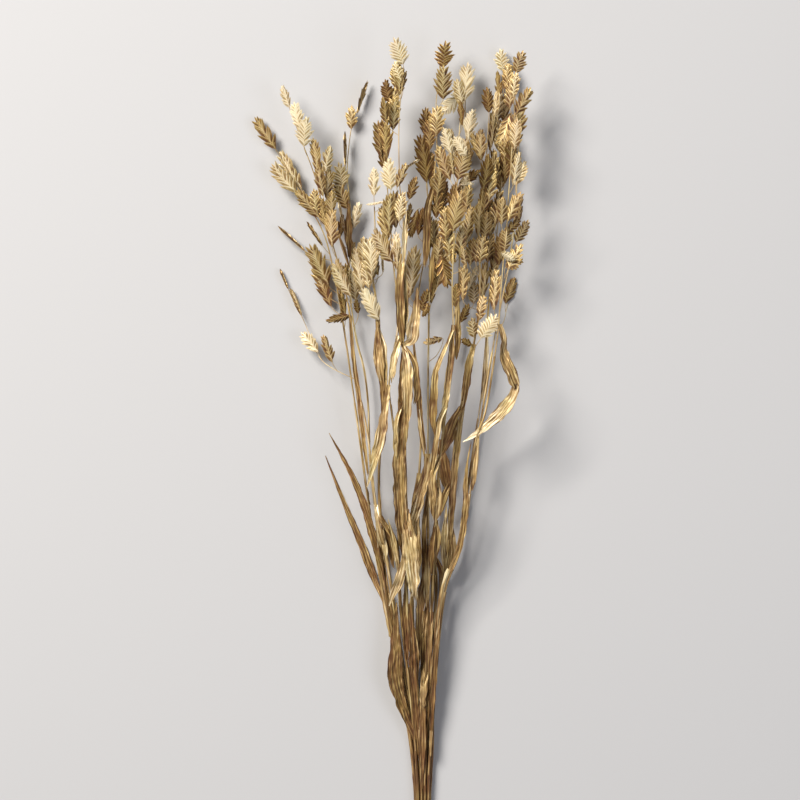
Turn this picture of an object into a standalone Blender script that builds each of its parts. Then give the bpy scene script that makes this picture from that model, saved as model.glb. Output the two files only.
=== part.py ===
"""Northern sea oats: a cut bunch of leafy stems, dried and sprayed gold, lying on a flat surface.

All sizes in the tables are millimetres. Across is left to right, along runs from the cut ends to the tips,
and heights are above the surface. Every stem is one body: its culm, leaves, pedicels and spikelets.
"""

import math

import bmesh
import bpy
from mathutils import Matrix, Vector

MM = 0.001

# Driving dimensions, in millimetres.
FOOT_RADIUS = 1.6          # culm at its cut end
PANICLE_RADIUS = 1.05      # culm where the seed head starts
TIP_RADIUS = 0.6           # culm under its last spikelet
CULM_SIDES = 6
CULM_SAG = 0.5             # how far a straight piece of a culm may leave its curve
CURVE_STEP = 12.0          # between the points its curve is read at
TWIG_STEP = 25.0
ROW_PITCH = 3.3            # between the three rows of the packed foot
FAN_START = 30.0           # the stems lie side by side up to here
FAN_END = 480.0            # and have reached their own height here
PANICLE_START = 560.0      # beyond here the tips droop
DROOP_LENGTH = 200.0
PEDICEL_RADIUS = 0.5
PEDICEL_DROP = 8.0         # a pedicel leaves its culm at least this far below its spikelet
SPIKELET_HALF_DEPTH = 1.5  # from the flat middle to the keel line
FLORET_SPAN = 0.78         # share of a spikelet's length that its rows of florets take
NOTCH_DEPTH = 0.34         # how far the notch between two florets cuts in, as a share of the half width
LONG_SPIKELET = 30.0       # from this length a spikelet shows one floret more on each side
LEAF_THICKNESS = 0.7
LEAF_STEP = 26.0
PAINT = (0.48, 0.33, 0.13, 1.0)

# Foot: (across, row) in the packed bundle. Level: height of the seed head. Droop: fall of the tip.
# Culm, twigs: (across, along[, lift]) points; lift is a height above the stem's own level.
# Spikelets: base across, base along, tip across, tip along, width, turn about its length in degrees,
# lift of its base, rise of its tip.
# Leaves: points (across, along, lift), width, turn at its foot, turn at its tip, fold, all in degrees.
STEMS = {
    "stem_01": {
        "foot": (0.0, 0), "level": 15, "droop": 12,
        "culm": [(-4, 75), (-12, 125), (-31, 225), (-47, 325), (-58, 405), (-71, 495), (-80, 547),
                 (-92, 593), (-115, 633), (-140, 677)],
        "spikelets": [
            (-140, 677, -160, 710, 13, 12, 0, -3),
            (-114, 637, -134, 676, 12, -15, -3, 0),
            (-119, 633, -143, 663, 15, 10, 3, 1),
            (-96, 608, -122, 635, 14, -12, 3, 2),
            (-111, 575, -138, 600, 11, 80, -4, -2),
            (-93, 580, -109, 604, 8, 65, 2, 0),
            (-87, 540, -105, 582, 16, 14, 0, 2),
            (-84, 519, -98, 557, 13, -25, -5, -2),
        ],
        "leaves": [
            ([(-30, 216, 0), (-43, 255, -6), (-55, 285, -20), (-74, 325, -20),
              (-89, 367, -20)], 7, 0, 0, 0),
        ],
    },
    "stem_02": {
        "foot": (1.2, 1), "level": 36, "droop": 12,
        "culm": [(-3, 75), (-11, 125), (-28, 225), (-40, 325), (-48, 395), (-58, 445), (-65, 509),
                 (-75, 555), (-88, 600), (-99, 645), (-111, 678), (-118, 697), (-126, 718)],
        "twigs": [[(-62, 443, 0), (-83, 457, -9), (-97, 470, -20), (-111, 503, -30), (-124, 529, -33)]],
        "spikelets": [
            (-126, 718, -134, 740, 9, 20, 0, 0),
            (-115, 697, -120, 724, 12, -8, 2, 1),
            (-111, 679, -108, 709, 14, 5, 4, 3),
            (-97, 653, -103, 688, 11, -30, -2, 0),
            (-92, 629, -96, 660, 11, 12, 3, 2),
            (-90, 600, -94, 629, 11, -20, -4, -2),
            (-85, 607, -84, 635, 11, 15, 2, 1),
            (-83, 578, -81, 617, 14, -10, 4, 2),
            (-90, 653, -84, 680, 12, 25, 0, 2),
            (-90, 640, -95, 665, 7, -40, -5, 0),
            (-64, 529, -84, 559, 13, 14, 4, 2),
            (-65, 510, -89, 503, 9, -30, -2, -3),
            (-97, 473, -115, 493, 12, 8, -15, -7),
            (-83, 463, -91, 491, 10, 25, -4, -5),
            (-112, 509, -123, 532, 8, 55, -27, -2),
            (-126, 538, -135, 557, 8, 70, -33, -1),
        ],
        "leaves": [
            ([(-29, 236, 0), (-38, 276, 5), (-48, 312, 4), (-63, 350, 2), (-86, 392, 0)], 8, 40, 15, 14),
        ],
    },
    "stem_03": {
        "foot": (3.5, 0), "level": 12, "droop": 6,
        "culm": [(-0.3, 75), (-8, 125), (-25, 225), (-38, 305), (-45, 365), (-47, 420), (-51, 455),
                 (-58, 482), (-62, 505), (-66, 540), (-65, 575), (-65, 618), (-68, 655), (-64, 697),
                 (-58, 713)],
        "spikelets": [
            (-58, 713, -48, 746, 12, 72, 0, 2),
            (-64, 697, -64, 721, 11, -15, 1, 0),
            (-70, 660, -70, 695, 12, 78, 2, 1),
            (-71, 637, -74, 664, 14, 10, 3, 2),
            (-68, 617, -81, 645, 14, -14, 2, 1),
            (-62, 597, -55, 624, 11, 18, 1, 0),
            (-76, 587, -73, 612, 9, 35, 0, 1),
            (-71, 597, -77, 625, 10, 80, 5, 1),
            (-53, 533, -60, 579, 14, -12, 3, 2),
            (-57, 512, -60, 526, 7, 20, 0, 0),
        ],
        "leaves": [
            ([(-66, 566, 0), (-65, 595, 3), (-64, 622, 4)], 6, 20, 50, 20),
        ],
    },
    "stem_04": {
        "foot": (4.7, 1), "level": 45, "droop": 4,
        "culm": [(1, 75), (-6.5, 125), (-22, 225), (-31, 285), (-36, 330), (-35, 375), (-30, 410),
                 (-33, 440), (-36, 480), (-38, 518), (-42, 550), (-40, 590), (-41, 629)],
        "spikelets": [
            (-41, 629, -41, 658, 11, -8, 0, 2),
            (-29, 623, -49, 620, 10, 75, 6, 1),
            (-43, 543, -46, 583, 13, 10, 3, 2),
            (-46, 537, -50, 565, 11, -22, -3, 0),
            (-35, 505, -51, 537, 12, -16, 5, 4),
            (-37, 550, -41, 572, 9, 30, -4, -1),
            (-32, 553, -33, 573, 9, 78, 0, 0),
        ],
        "leaves": [
            ([(-33, 432, 2), (-34, 462, 4), (-37, 505, 4)], 8, 10, 40, 30),
            ([(-30, 268, 2), (-36, 288, 4), (-39, 318, 5)], 6, -20, 30, 20),
        ],
    },
    "stem_05": {
        "foot": (3.0, 2), "level": 52, "droop": 8,
        "culm": [(0.5, 75), (-4, 125), (-15, 225), (-17, 325), (-19, 375), (-23, 410), (-26, 440),
                 (-22, 468), (-17, 500), (-18, 530), (-22, 563), (-24, 593), (-27, 630), (-30, 665),
                 (-28, 705), (-26, 723)],
        "spikelets": [
            (-26, 723, -29, 746, 11, 15, 0, 0),
            (-24, 701, -22, 730, 10, -20, 2, 0),
            (-34, 669, -37, 705, 10, 18, -2, 0),
            (-28, 667, -29, 707, 10, -24, 3, 2),
            (-24, 635, -27, 667, 16, -10, 3, 2),
            (-26, 593, -24, 632, 12, 14, 3, 1),
            (-27, 585, -34, 620, 12, -18, -3, 0),
            (-23, 563, -41, 596, 15, 12, 2, 2),
        ],
        "leaves": [
            ([(-26, 440, 1), (-30, 412, 4), (-34, 384, 6), (-42, 358, 6),
              (-48, 338, 3)], 11, 15, -35, 28),
            ([(-16, 242, 1), (-18, 265, 4), (-22, 285, 5), (-27, 306, 4)], 6, 30, -15, 20),
            ([(-1, 86, 0), (-12, 112, 2), (-23, 150, 2), (-22, 185, 2), (-20, 222, 1)], 12, -15, 20, 22),
        ],
    },
    "stem_06": {
        "foot": (6.5, 2), "level": 74, "droop": 12,
        "culm": [(4.5, 75), (1, 125), (-8, 225), (-9, 325), (-10, 375), (-12, 425), (-12, 495),
                 (-14, 525), (-12, 565), (-12, 609), (-15, 635), (-16, 665), (-16, 700), (-14, 729),
                 (-11, 749), (-12, 760)],
        "spikelets": [
            (-12, 760, -22, 787, 16, 5, 0, 2),
            (-14, 743, -20, 763, 10, -15, 1, 0),
            (-16, 729, -13, 755, 10, 22, -3, 0),
            (-18, 637, -9, 662, 10, 12, 2, 1),
            (-8, 657, 5, 665, 9, 75, 0, 1),
            (-16, 603, -12, 633, 12, -18, 3, 2),
            (-6, 625, 1, 648, 9, 60, 2, 0),
            (-7, 600, -5, 622, 9, 50, -6, 0),
        ],
        "leaves": [
            ([(-12, 478, 0), (-7, 455, 5), (-6, 420, 6), (-5, 380, 5), (-3, 345, 3)], 12, 12, -20, 30),
            ([(-12, 486, 0), (-4, 505, 5), (1, 537, 5)], 9, -18, 25, 28),
            ([(-9, 276, 1), (-13, 255, 5), (-20, 235, 6), (-26, 220, 4)], 8, -12, -20, 18),
            ([(6, 34, 0), (7, 66, 3), (7.5, 100, 3.5), (7, 146, 3)], 9, 0, 25, 24),
            ([(2, 128, 1), (0, 170, 3), (-4, 214, 2)], 8, -20, 12, 26),
            ([(-12, 552, 0), (-11, 580, 5), (-9, 613, 6)], 6, 0, -30, 22),
        ],
    },
    "stem_07": {
        "foot": (7.0, 0), "level": 16, "droop": 8,
        "culm": [(5.5, 75), (3, 125), (-3, 225), (3, 325), (6, 395), (2, 435), (-1, 480), (2, 505),
                 (4, 535), (9, 565), (13, 590), (15, 613), (12, 636), (12, 660), (13, 687)],
        "spikelets": [
            (13, 687, 11, 719, 14, -12, 0, 1),
            (12, 643, 5, 688, 16, 10, 3, 2),
            (16, 638, 17, 675, 10, -25, 0, 0),
            (-5, 530, -2, 580, 14, 8, 6, 2),
            (3, 616, -6, 587, 9, 20, 5, -2),
        ],
        "leaves": [
            ([(-1, 478, 0), (3, 435, 3), (6, 405, 4), (12, 370, 3)], 6, 35, -20, 18),
        ],
    },
    "stem_08": {
        "foot": (8.2, 1), "level": 42, "droop": 8,
        "culm": [(9, 75), (11, 125), (13, 225), (13, 425), (14, 515), (15, 555), (14, 585), (16, 613),
                 (19, 645), (22, 685), (21, 720), (24, 742), (28, 758)],
        "twigs": [[(14, 464, 0), (21, 469, -3), (26, 477, -5)]],
        "spikelets": [
            (28, 758, 30, 785, 15, -8, 0, 1),
            (28, 726, 29, 761, 16, 14, 3, 2),
            (21, 689, 22, 720, 14, -16, 2, 0),
            (29, 595, 30, 617, 9, 30, -3, 0),
            (30, 644, 25, 670, 11, 12, -2, 0),
            (22, 538, 30, 578, 16, -10, -3, 0),
            (13, 522, 7, 508, 8, 25, 3, -2),
            (27, 487, 8, 482, 8, 12, -5, -2),
        ],
        "leaves": [
            ([(13, 356, 1), (8, 338, 4), (0, 315, 5), (-4, 270, 4), (-1, 228, 3)], 13, 10, -25, 26),
            ([(14, 530, 0), (17, 552, 4), (18, 578, 4)], 6, 0, 40, 22),
        ],
    },
    "stem_09": {
        "foot": (10.0, 2), "level": 62, "droop": 10,
        "culm": [(10.5, 75), (13, 125), (17, 225), (22, 325), (26, 375), (32, 425), (35, 480), (38, 500),
                 (37, 535), (38, 565), (40, 593), (41, 625), (42, 645), (44, 690), (47, 717)],
        "spikelets": [
            (47, 717, 41, 746, 10, 10, 0, 1),
            (47, 699, 44, 725, 8, -45, 3, 0),
            (36, 671, 28, 697, 12, -14, 3, 3),
            (40, 665, 35, 697, 12, 12, 0, 1),
            (43, 645, 52, 677, 17, 6, 3, 2),
            (38, 593, 48, 635, 18, -8, 3, 2),
            (40, 603, 40, 625, 10, 30, -4, 0),
            (45, 640, 59, 641, 8, 60, 4, 1),
        ],
        "leaves": [
            ([(35, 486, 0), (29, 470, 4), (22, 453, 6), (19, 420, 6), (19, 380, 5),
              (20, 345, 4)], 8, 10, -30, 26),
        ],
    },
    "stem_10": {
        "foot": (10.5, 0), "level": 9, "droop": 3,
        "culm": [(11, 75), (12, 125), (21, 225), (20, 275), (23, 345), (28, 395), (33, 425), (40, 475),
                 (43, 495), (44, 545), (45, 579), (46, 605), (48, 645), (52, 685), (51, 705), (50, 725)],
        "spikelets": [
            (50, 725, 54, 764, 12, 5, 0, 3),
            (47, 730, 26, 714, 13, -10, 3, 0),
            (52, 685, 57, 716, 12, 16, 2, 1),
            (51, 642, 66, 653, 9, 30, 1, 0),
            (43, 579, 49, 605, 9, -22, 3, 1),
            (49, 578, 57, 601, 8, 35, -3, 0),
            (47, 662, 52, 690, 11, -14, 3, 1),
            (52, 535, 63, 561, 10, 50, 2, 0),
            (59, 522, 57, 545, 11, 14, -2, 0),
        ],
        "leaves": [
            ([(33, 425, 1), (26, 408, 3), (18, 374, 2)], 7, 30, 0, 18),
            ([(26, 386, 0), (28, 364, 3), (34, 328, 1)], 12, -12, -30, 20),
            ([(41, 480, 0), (43, 512, 3), (44, 545, 4)], 6, 0, 40, 24),
        ],
    },
    "stem_11": {
        "foot": (11.7, 1), "level": 32, "droop": 8,
        "culm": [(13, 75), (16, 125), (25, 225), (35, 285), (35, 325), (38, 365), (42, 395), (50, 430),
                 (58, 475), (64, 515), (65, 555), (64, 595), (68, 635), (72, 675), (74, 713)],
        "spikelets": [
            (74, 713, 72, 739, 12, 15, 0, 0),
            (80, 708, 81, 735, 8, -35, 2, 1),
            (66, 665, 65, 697, 12, -10, 1, 1),
            (68, 635, 72, 672, 13, 12, 3, 2),
            (74, 625, 80, 660, 13, -20, 0, 0),
            (61, 563, 64, 590, 13, 10, 2, 1),
            (66, 487, 81, 512, 14, -10, 13, 3),
            (59, 488, 57, 508, 12, 10, 5, 1),
            (56, 480, 46, 486, 9, -25, 2, 0),
            (75, 675, 78, 718, 10, 40, -5, -2),
        ],
        "leaves": [
            ([(29, 252, 1), (28, 280, 4), (31, 320, 5)], 6, -15, 30, 18),
        ],
    },
    "stem_12": {
        "foot": (14.0, 0), "level": 13, "droop": 6,
        "culm": [(16.5, 75), (19, 125), (28, 225), (43, 272), (50, 320), (55, 350), (60, 385), (66, 425),
                 (71, 480), (74, 520), (78, 560), (82, 590), (86, 630), (88, 665), (90, 700), (92, 727),
                 (88, 756)],
        "spikelets": [
            (88, 756, 86, 778, 12, -8, 0, 1),
            (89, 737, 96, 762, 9, 20, 1, 1),
            (85, 726, 83, 756, 8, -40, -2, 0),
            (90, 703, 90, 732, 12, 10, 3, 1),
            (90, 643, 93, 680, 12, -14, 2, 1),
            (75, 589, 77, 625, 14, 12, 3, 2),
            (84, 675, 85, 707, 14, -18, 2, 2),
            (81, 560, 71, 586, 10, 30, -3, -1),
        ],
        "leaves": [],
    },
    "stem_13": {
        "foot": (13.5, 2), "level": 64, "droop": 12,
        "culm": [(15, 75), (17, 125), (27, 225), (42, 275), (50, 320), (56, 360), (62, 390), (70, 412),
                 (77, 452), (83, 495), (85, 525), (88, 563), (91, 589), (93, 625), (96, 665), (99, 705),
                 (99, 727), (101, 752)],
        "spikelets": [
            (101, 752, 109, 774, 12, 8, 0, 1),
            (98, 727, 101, 753, 10, -18, 3, 1),
            (101, 711, 115, 738, 12, 14, -2, -2),
            (99, 675, 101, 707, 14, -10, 3, 2),
            (98, 639, 105, 673, 10, 25, 0, 0),
            (92, 603, 106, 633, 12, -8, 3, 2),
            (91, 592, 105, 606, 10, 20, -4, -2),
            (86, 572, 100, 565, 12, 35, 3, 0),
            (93, 555, 106, 582, 13, -18, -3, -2),
        ],
        "leaves": [
            ([(31, 238, 1), (44, 275, 2), (51, 318, 3), (51, 345, 4), (56, 384, 4)], 7, -10, 50, 26),
            ([(83, 499, 0), (89, 480, 6), (92, 463, 6), (98, 449, 4), (103, 441, 2), (99, 430, 0),
              (90, 417, -1), (76, 403, 0), (49, 385, -2)], 10, 40, -10, 20),
        ],
    },
    "stem_14": {
        "foot": (15.2, 1), "level": 40, "droop": 10,
        "culm": [(17.5, 75), (20, 125), (31, 225), (46, 275), (54, 325), (60, 370), (66, 405), (75, 460),
                 (82, 500), (88, 530), (94, 560), (98, 590), (101, 625), (103, 665), (105, 692)],
        "twigs": [[(80, 488, 0), (89, 504, -21), (93, 522, -35)]],
        "spikelets": [
            (105, 692, 107, 720, 13, -12, 0, 0),
            (101, 583, 113, 606, 10, 20, -3, -2),
            (101, 640, 110, 665, 12, -18, -4, -3),
            (93, 522, 103, 547, 12, 10, -37.5, -2),
            (97, 655, 97, 686, 12, 15, 2, 0),
        ],
        "leaves": [],
    },
}


def clear_scene():
    for item in list(bpy.data.objects):
        bpy.data.objects.remove(item, do_unlink=True)


def gold_paint():
    paint = bpy.data.materials.new("gold_painted_grass")
    paint.use_nodes = True
    shader = paint.node_tree.nodes["Principled BSDF"]
    shader.inputs["Base Color"].default_value = PAINT
    shader.inputs["Metallic"].default_value = 0.8
    shader.inputs["Roughness"].default_value = 0.45
    return paint


def ease(value):
    """Smooth step from 0 to 1."""
    value = min(max(value, 0.0), 1.0)
    return value * value * (3.0 - 2.0 * value)


def stem_height(stem, along):
    """Height of a stem's own layer: packed rows at the foot, fanned out above, drooping at the tip."""
    foot = FOOT_RADIUS * math.cos(math.pi / CULM_SIDES) + ROW_PITCH * stem["foot"][1]
    rise = ease((along - FAN_START) / (FAN_END - FAN_START))
    droop = stem["droop"] * max(0.0, (along - PANICLE_START) / DROOP_LENGTH) ** 2
    return foot + (stem["level"] - foot) * rise - droop


def lifted(stem, point):
    """A table point as a place in space."""
    lift = point[2] if len(point) > 2 else 0.0
    return Vector((point[0], point[1], stem_height(stem, point[1]) + lift))


def smooth_line(points, step):
    """Points along a Catmull-Rom curve through the given ones, no further apart than step."""
    ends = [2 * points[0] - points[1]] + list(points) + [2 * points[-1] - points[-2]]
    line = []
    for before, start, end, after in zip(ends, ends[1:], ends[2:], ends[3:]):
        count = max(1, math.ceil((end - start).length / step))
        for index in range(count):
            t = index / count
            line.append(0.5 * (2 * start + (end - before) * t
                               + (2 * before - 5 * start + 4 * end - after) * t ** 2
                               + (3 * start - before - 3 * end + after) * t ** 3))
    return line + [points[-1].copy()]


def thinned(line, sag):
    """The same line with the points left out that lie within sag of a straight piece."""
    if len(line) < 3:
        return line
    run = (line[-1] - line[0]).normalized()
    offsets = [(point - line[0] - run * run.dot(point - line[0])).length for point in line]
    worst = max(range(len(line)), key=lambda index: offsets[index])
    if offsets[worst] <= sag:
        return [line[0], line[-1]]
    return thinned(line[:worst + 1], sag)[:-1] + thinned(line[worst:], sag)


def beaded(line, step):
    """Points along the straight pieces of a line, no further apart than step."""
    beads = []
    for start, end in zip(line, line[1:]):
        count = max(1, math.ceil((end - start).length / step))
        beads += [start.lerp(end, index / count) for index in range(count)]
    return beads + [line[-1]]


def closed_mesh(name, corners, faces):
    mesh = bpy.data.meshes.new(name)
    mesh.from_pydata([corner * MM for corner in corners], [], faces)
    work = bmesh.new()
    work.from_mesh(mesh)
    bmesh.ops.recalc_face_normals(work, faces=work.faces)
    work.to_mesh(mesh)
    work.free()
    return mesh


def ring_faces(rings, sides):
    """Side faces and two end caps of a tube whose corners are listed ring by ring."""
    faces = [tuple(reversed(range(sides)))]
    for ring in range(rings - 1):
        for side in range(sides):
            after = (side + 1) % sides
            low, high = ring * sides, (ring + 1) * sides
            faces.append((low + side, low + after, high + after))
            faces.append((low + side, high + after, high + side))
    faces.append(tuple((rings - 1) * sides + side for side in range(sides)))
    return faces


def culm_line(stem):
    across, _ = stem["foot"]
    points = [lifted(stem, (across, 0.0)), lifted(stem, (across, FAN_START))]
    points += [lifted(stem, point) for point in stem["culm"]]
    line = [points[0]] + thinned(smooth_line(points[1:], CURVE_STEP), CULM_SAG)
    last = line[-1] - line[-2]
    line[-1] -= last * (0.75 * PEDICEL_DROP / last.length)
    return line


def culm_radius(along):
    if along < PANICLE_START:
        share = ease((along - FAN_START) / (PANICLE_START - FAN_START))
        return FOOT_RADIUS + (PANICLE_RADIUS - FOOT_RADIUS) * share
    return PANICLE_RADIUS + (TIP_RADIUS - PANICLE_RADIUS) * min(1.0, (along - PANICLE_START) / DROOP_LENGTH)


def culm_mesh(name, line):
    """Six-sided culm with its rings upright, so the packed feet keep their gaps and lie on a flat side."""
    corners = []
    for point in line:
        radius = culm_radius(point.y)
        for side in range(CULM_SIDES):
            angle = math.tau * side / CULM_SIDES
            corners.append(point + Vector((radius * math.cos(angle), 0.0, radius * math.sin(angle))))
    return closed_mesh(name, corners, ring_faces(len(line), CULM_SIDES))


def rod_mesh(name, line, start_radius, end_radius, sides=3):
    corners = []
    for index, point in enumerate(line):
        ahead = (line[min(index + 1, len(line) - 1)] - line[max(index - 1, 0)]).normalized()
        flat = ahead.cross(Vector((0, 0, 1))).normalized()
        upright = flat.cross(ahead)
        radius = start_radius + (end_radius - start_radius) * index / (len(line) - 1)
        for side in range(sides):
            angle = math.tau * side / sides + math.pi / 2
            corners.append(point + radius * (math.cos(angle) * flat + math.sin(angle) * upright))
    return closed_mesh(name, corners, ring_faces(len(line), sides))


def spikelet_mesh(name, stalk, tip, width, turn):
    """A flat spikelet on its pedicel: keeled florets in two ranks, overlapping like a herringbone."""
    base = stalk[-1]
    length = (tip - base).length
    florets = 5 if length > LONG_SPIKELET else 4
    forward = (tip - base).normalized()
    level = Vector((0, 0, 1)).cross(forward).normalized()
    side_way = Matrix.Rotation(math.radians(turn), 3, forward) @ level
    face_way = forward.cross(side_way)
    pitch = FLORET_SPAN / florets

    def half_width(share):
        """Egg-shaped outline: widest a little below the middle, pointed at the tip."""
        return 0.5 * width * min(1.0, math.sin(math.pi * min(1.0, 0.08 + 0.92 * share) ** 0.85) * 1.12)

    def half_depth(share):
        return SPIKELET_HALF_DEPTH * (0.55 + 0.45 * math.sin(math.pi * share))

    def place(share, aside, out):
        corners.append(base + forward * (length * share) + side_way * aside + face_way * out)
        return len(corners) - 1

    corners = []
    for before, point in zip([stalk[0]] + stalk, stalk[:-1]):
        ahead = (stalk[stalk.index(point) + 1] - before).normalized()
        aside = (side_way - ahead * side_way.dot(ahead)).normalized()
        out = ahead.cross(aside)
        corners += [point + PEDICEL_RADIUS * way for way in (aside, out, -aside, -out)]
    corners += [base + PEDICEL_RADIUS * way for way in (side_way, face_way, -side_way, -face_way)]
    faces = ring_faces(len(stalk), 4)[:-1]
    neck = 4 * (len(stalk) - 1)
    end = place(1.0, 0.0, 0.0)
    shares = [0.07 + pitch * index for index in range(florets + 1)]
    spine = [[place(share, 0.0, face * half_depth(share)) for share in shares] for face in (1, -1)]
    for side, neck_side, lag in ((1, neck, 0.0), (-1, neck + 2, 0.45 * pitch)):
        teeth, notches = [], [neck_side]
        for index in range(florets):
            share = 0.28 + pitch * index + lag
            teeth.append(place(share, side * half_width(share - 0.08), 0.0))
            notch = share - 0.03
            notches.append(place(notch, side * (1.0 - NOTCH_DEPTH) * half_width(notch), 0.0))
        for row, neck_face in ((spine[0], neck + 1), (spine[1], neck + 3)):
            faces.append((neck_face, neck_side, row[0]))
            for index in range(florets):
                faces.append((notches[index], teeth[index], row[index]))
                faces.append((teeth[index], notches[index + 1], row[index]))
                faces.append((row[index], notches[index + 1], row[index + 1]))
            faces.append((notches[florets], end, row[florets]))
    return closed_mesh(name, corners, faces)


def leaf_mesh(name, points, width, foot_turn, tip_turn, fold):
    """A folded blade: two thin wings on a midrib, twisting from foot to tip, split alike on both faces."""
    line = smooth_line(points, LEAF_STEP)
    for point in line:
        point.z = max(point.z, 0.5 * LEAF_THICKNESS)
    corners = []
    last = len(line) - 1
    for index, point in enumerate(line):
        share = index / last
        ahead = (line[min(index + 1, last)] - line[max(index - 1, 0)]).normalized()
        flat = ahead.cross(Vector((0, 0, 1))).normalized()
        turn = Matrix.Rotation(math.radians(foot_turn + (tip_turn - foot_turn) * share), 3, ahead)
        half = 0.5 * width * (0.35 + 0.65 * ease(share / 0.25)) * (1.0 - 0.8 * ease((share - 0.45) / 0.55))
        wing = turn @ flat
        normal = wing.cross(ahead)
        rise = math.tan(math.radians(fold)) * half
        thick = 0.5 * LEAF_THICKNESS
        for way in (1, -1):
            corners.append(point - wing * half + normal * (rise + way * thick))
            corners.append(point + normal * way * thick)
            corners.append(point + wing * half + normal * (rise + way * thick))
    faces = []
    for index in range(last):
        low, high = 6 * index, 6 * (index + 1)
        for left in (0, 1):
            for face in (0, 3):
                near, far = low + face + left, high + face + left
                faces += [(near, near + 1, far + 1), (near, far + 1, far)]
        for edge in (0, 2):
            near, far = low + edge, high + edge
            faces += [(near, near + 3, far + 3), (near, far + 3, far)]
    for end in (0, 6 * last):
        faces += [(end, end + 1, end + 4, end + 3), (end + 1, end + 2, end + 5, end + 4)]
    return closed_mesh(name, corners, faces)


def pedicel_line(lines, base, forward):
    """From the nearest point of the stem below a spikelet's base, bending into the spikelet."""
    below = [point for line in lines for point in beaded(line, 3.0) if point.y < base.y - PEDICEL_DROP]
    joint = min(below, key=lambda point: (point - base).length)
    bend = base - forward * (0.45 * (base - joint).length)
    return [joint, joint.lerp(bend, 0.5).lerp(bend.lerp(base, 0.5), 0.5), base]


def rooted(points, line):
    """A leaf's or twig's points, with the first moved onto the culm's own axis."""
    root = min(beaded(line, 2.0), key=lambda point: (point - points[0]).length)
    return [root.copy()] + points[1:]


def stem_pieces(name, stem):
    line = culm_line(stem)
    twigs = []
    for points in stem.get("twigs", []):
        twigs.append(smooth_line(rooted([lifted(stem, point) for point in points], line), TWIG_STEP))
    meshes = [culm_mesh(name + "_culm", line)]
    meshes += [rod_mesh(name + "_twig", twig, TIP_RADIUS, PEDICEL_RADIUS) for twig in twigs]
    for x0, y0, x1, y1, width, turn, lift, rise in stem["spikelets"]:
        base = lifted(stem, (x0, y0, lift))
        tip = Vector((x1, y1, base.z + rise))
        stalk = pedicel_line([line] + twigs, base, (tip - base).normalized())
        spikelet = spikelet_mesh(name + "_spikelet", stalk, tip, width, turn)
        sunk = -min(corner.co.z for corner in spikelet.vertices) / MM
        if sunk > 0.0:
            rise_out = Vector((0, 0, sunk))
            stalk = pedicel_line([line] + twigs, base + rise_out, (tip - base).normalized())
            spikelet = spikelet_mesh(name + "_spikelet", stalk, tip + rise_out, width, turn)
        meshes.append(spikelet)
    for points, width, foot_turn, tip_turn, fold in stem["leaves"]:
        path = rooted([lifted(stem, point) for point in points], line)
        meshes.append(leaf_mesh(name + "_leaf", path, width, foot_turn, tip_turn, fold))
    return meshes


def fuse(name, meshes, paint):
    """One body from a stem's pieces, by a union of the first with a collection of the others."""
    group = bpy.data.collections.new(name + "_pieces")
    bpy.context.scene.collection.children.link(group)
    pieces = []
    for mesh in meshes:
        piece = bpy.data.objects.new(mesh.name, mesh)
        pieces.append(piece)
    body = pieces[0]
    body.name = name
    bpy.context.scene.collection.objects.link(body)
    for piece in pieces[1:]:
        group.objects.link(piece)
    union = body.modifiers.new("fuse", "BOOLEAN")
    union.operation = "UNION"
    union.operand_type = "COLLECTION"
    union.collection = group
    union.solver = "MANIFOLD"
    bpy.context.view_layer.update()
    graph = bpy.context.evaluated_depsgraph_get()
    fused = bpy.data.meshes.new_from_object(body.evaluated_get(graph))
    body.modifiers.clear()
    body.data = fused
    for piece in pieces[1:]:
        bpy.data.objects.remove(piece, do_unlink=True)
    bpy.data.collections.remove(group)
    work = bmesh.new()
    work.from_mesh(fused)
    bmesh.ops.triangulate(work, faces=work.faces)
    work.to_mesh(fused)
    work.free()
    fused.materials.clear()
    fused.materials.append(paint)
    return body


def recentre(bodies):
    """Move the bunch so the origin is the middle of its bounding box on the surface."""
    corners = [corner.co for body in bodies for corner in body.data.vertices]
    low = Vector([min(corner[axis] for corner in corners) for axis in range(3)])
    high = Vector([max(corner[axis] for corner in corners) for axis in range(3)])
    middle = Vector((0.5 * (low.x + high.x), 0.5 * (low.y + high.y), low.z))
    for body in bodies:
        body.data.transform(Matrix.Translation(-middle))


def main():
    clear_scene()
    paint = gold_paint()
    recentre([fuse(name, stem_pieces(name, stem), paint) for name, stem in STEMS.items()])


main()
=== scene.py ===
"""Northern sea oats, dried and sprayed gold: a cut bunch of leafy stems lying on a pale studio floor.

The tables and the path functions follow the solids' own, in millimetres: across is left to right, along runs
from the cut ends to the tips, and heights are above the floor. Each stem gets three pieces, its straw, its
blades and its spikelets, which stand for its solid.
"""

import math
import random
from collections import namedtuple

import bmesh
import bpy
import numpy as np
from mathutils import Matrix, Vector, noise


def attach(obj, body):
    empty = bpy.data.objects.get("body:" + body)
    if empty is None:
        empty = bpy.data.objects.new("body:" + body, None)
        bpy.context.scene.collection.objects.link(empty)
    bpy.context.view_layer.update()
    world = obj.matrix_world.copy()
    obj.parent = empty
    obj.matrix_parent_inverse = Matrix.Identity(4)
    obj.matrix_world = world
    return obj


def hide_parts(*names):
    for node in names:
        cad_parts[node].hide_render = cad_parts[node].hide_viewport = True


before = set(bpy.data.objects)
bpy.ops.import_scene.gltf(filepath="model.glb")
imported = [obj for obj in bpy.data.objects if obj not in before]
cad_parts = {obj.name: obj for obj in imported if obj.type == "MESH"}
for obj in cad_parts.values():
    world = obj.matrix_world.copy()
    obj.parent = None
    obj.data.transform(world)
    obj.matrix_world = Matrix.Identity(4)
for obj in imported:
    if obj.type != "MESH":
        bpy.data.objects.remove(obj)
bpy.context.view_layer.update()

MM = 0.001
UP = np.array((0.0, 0.0, 1.0))

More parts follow.
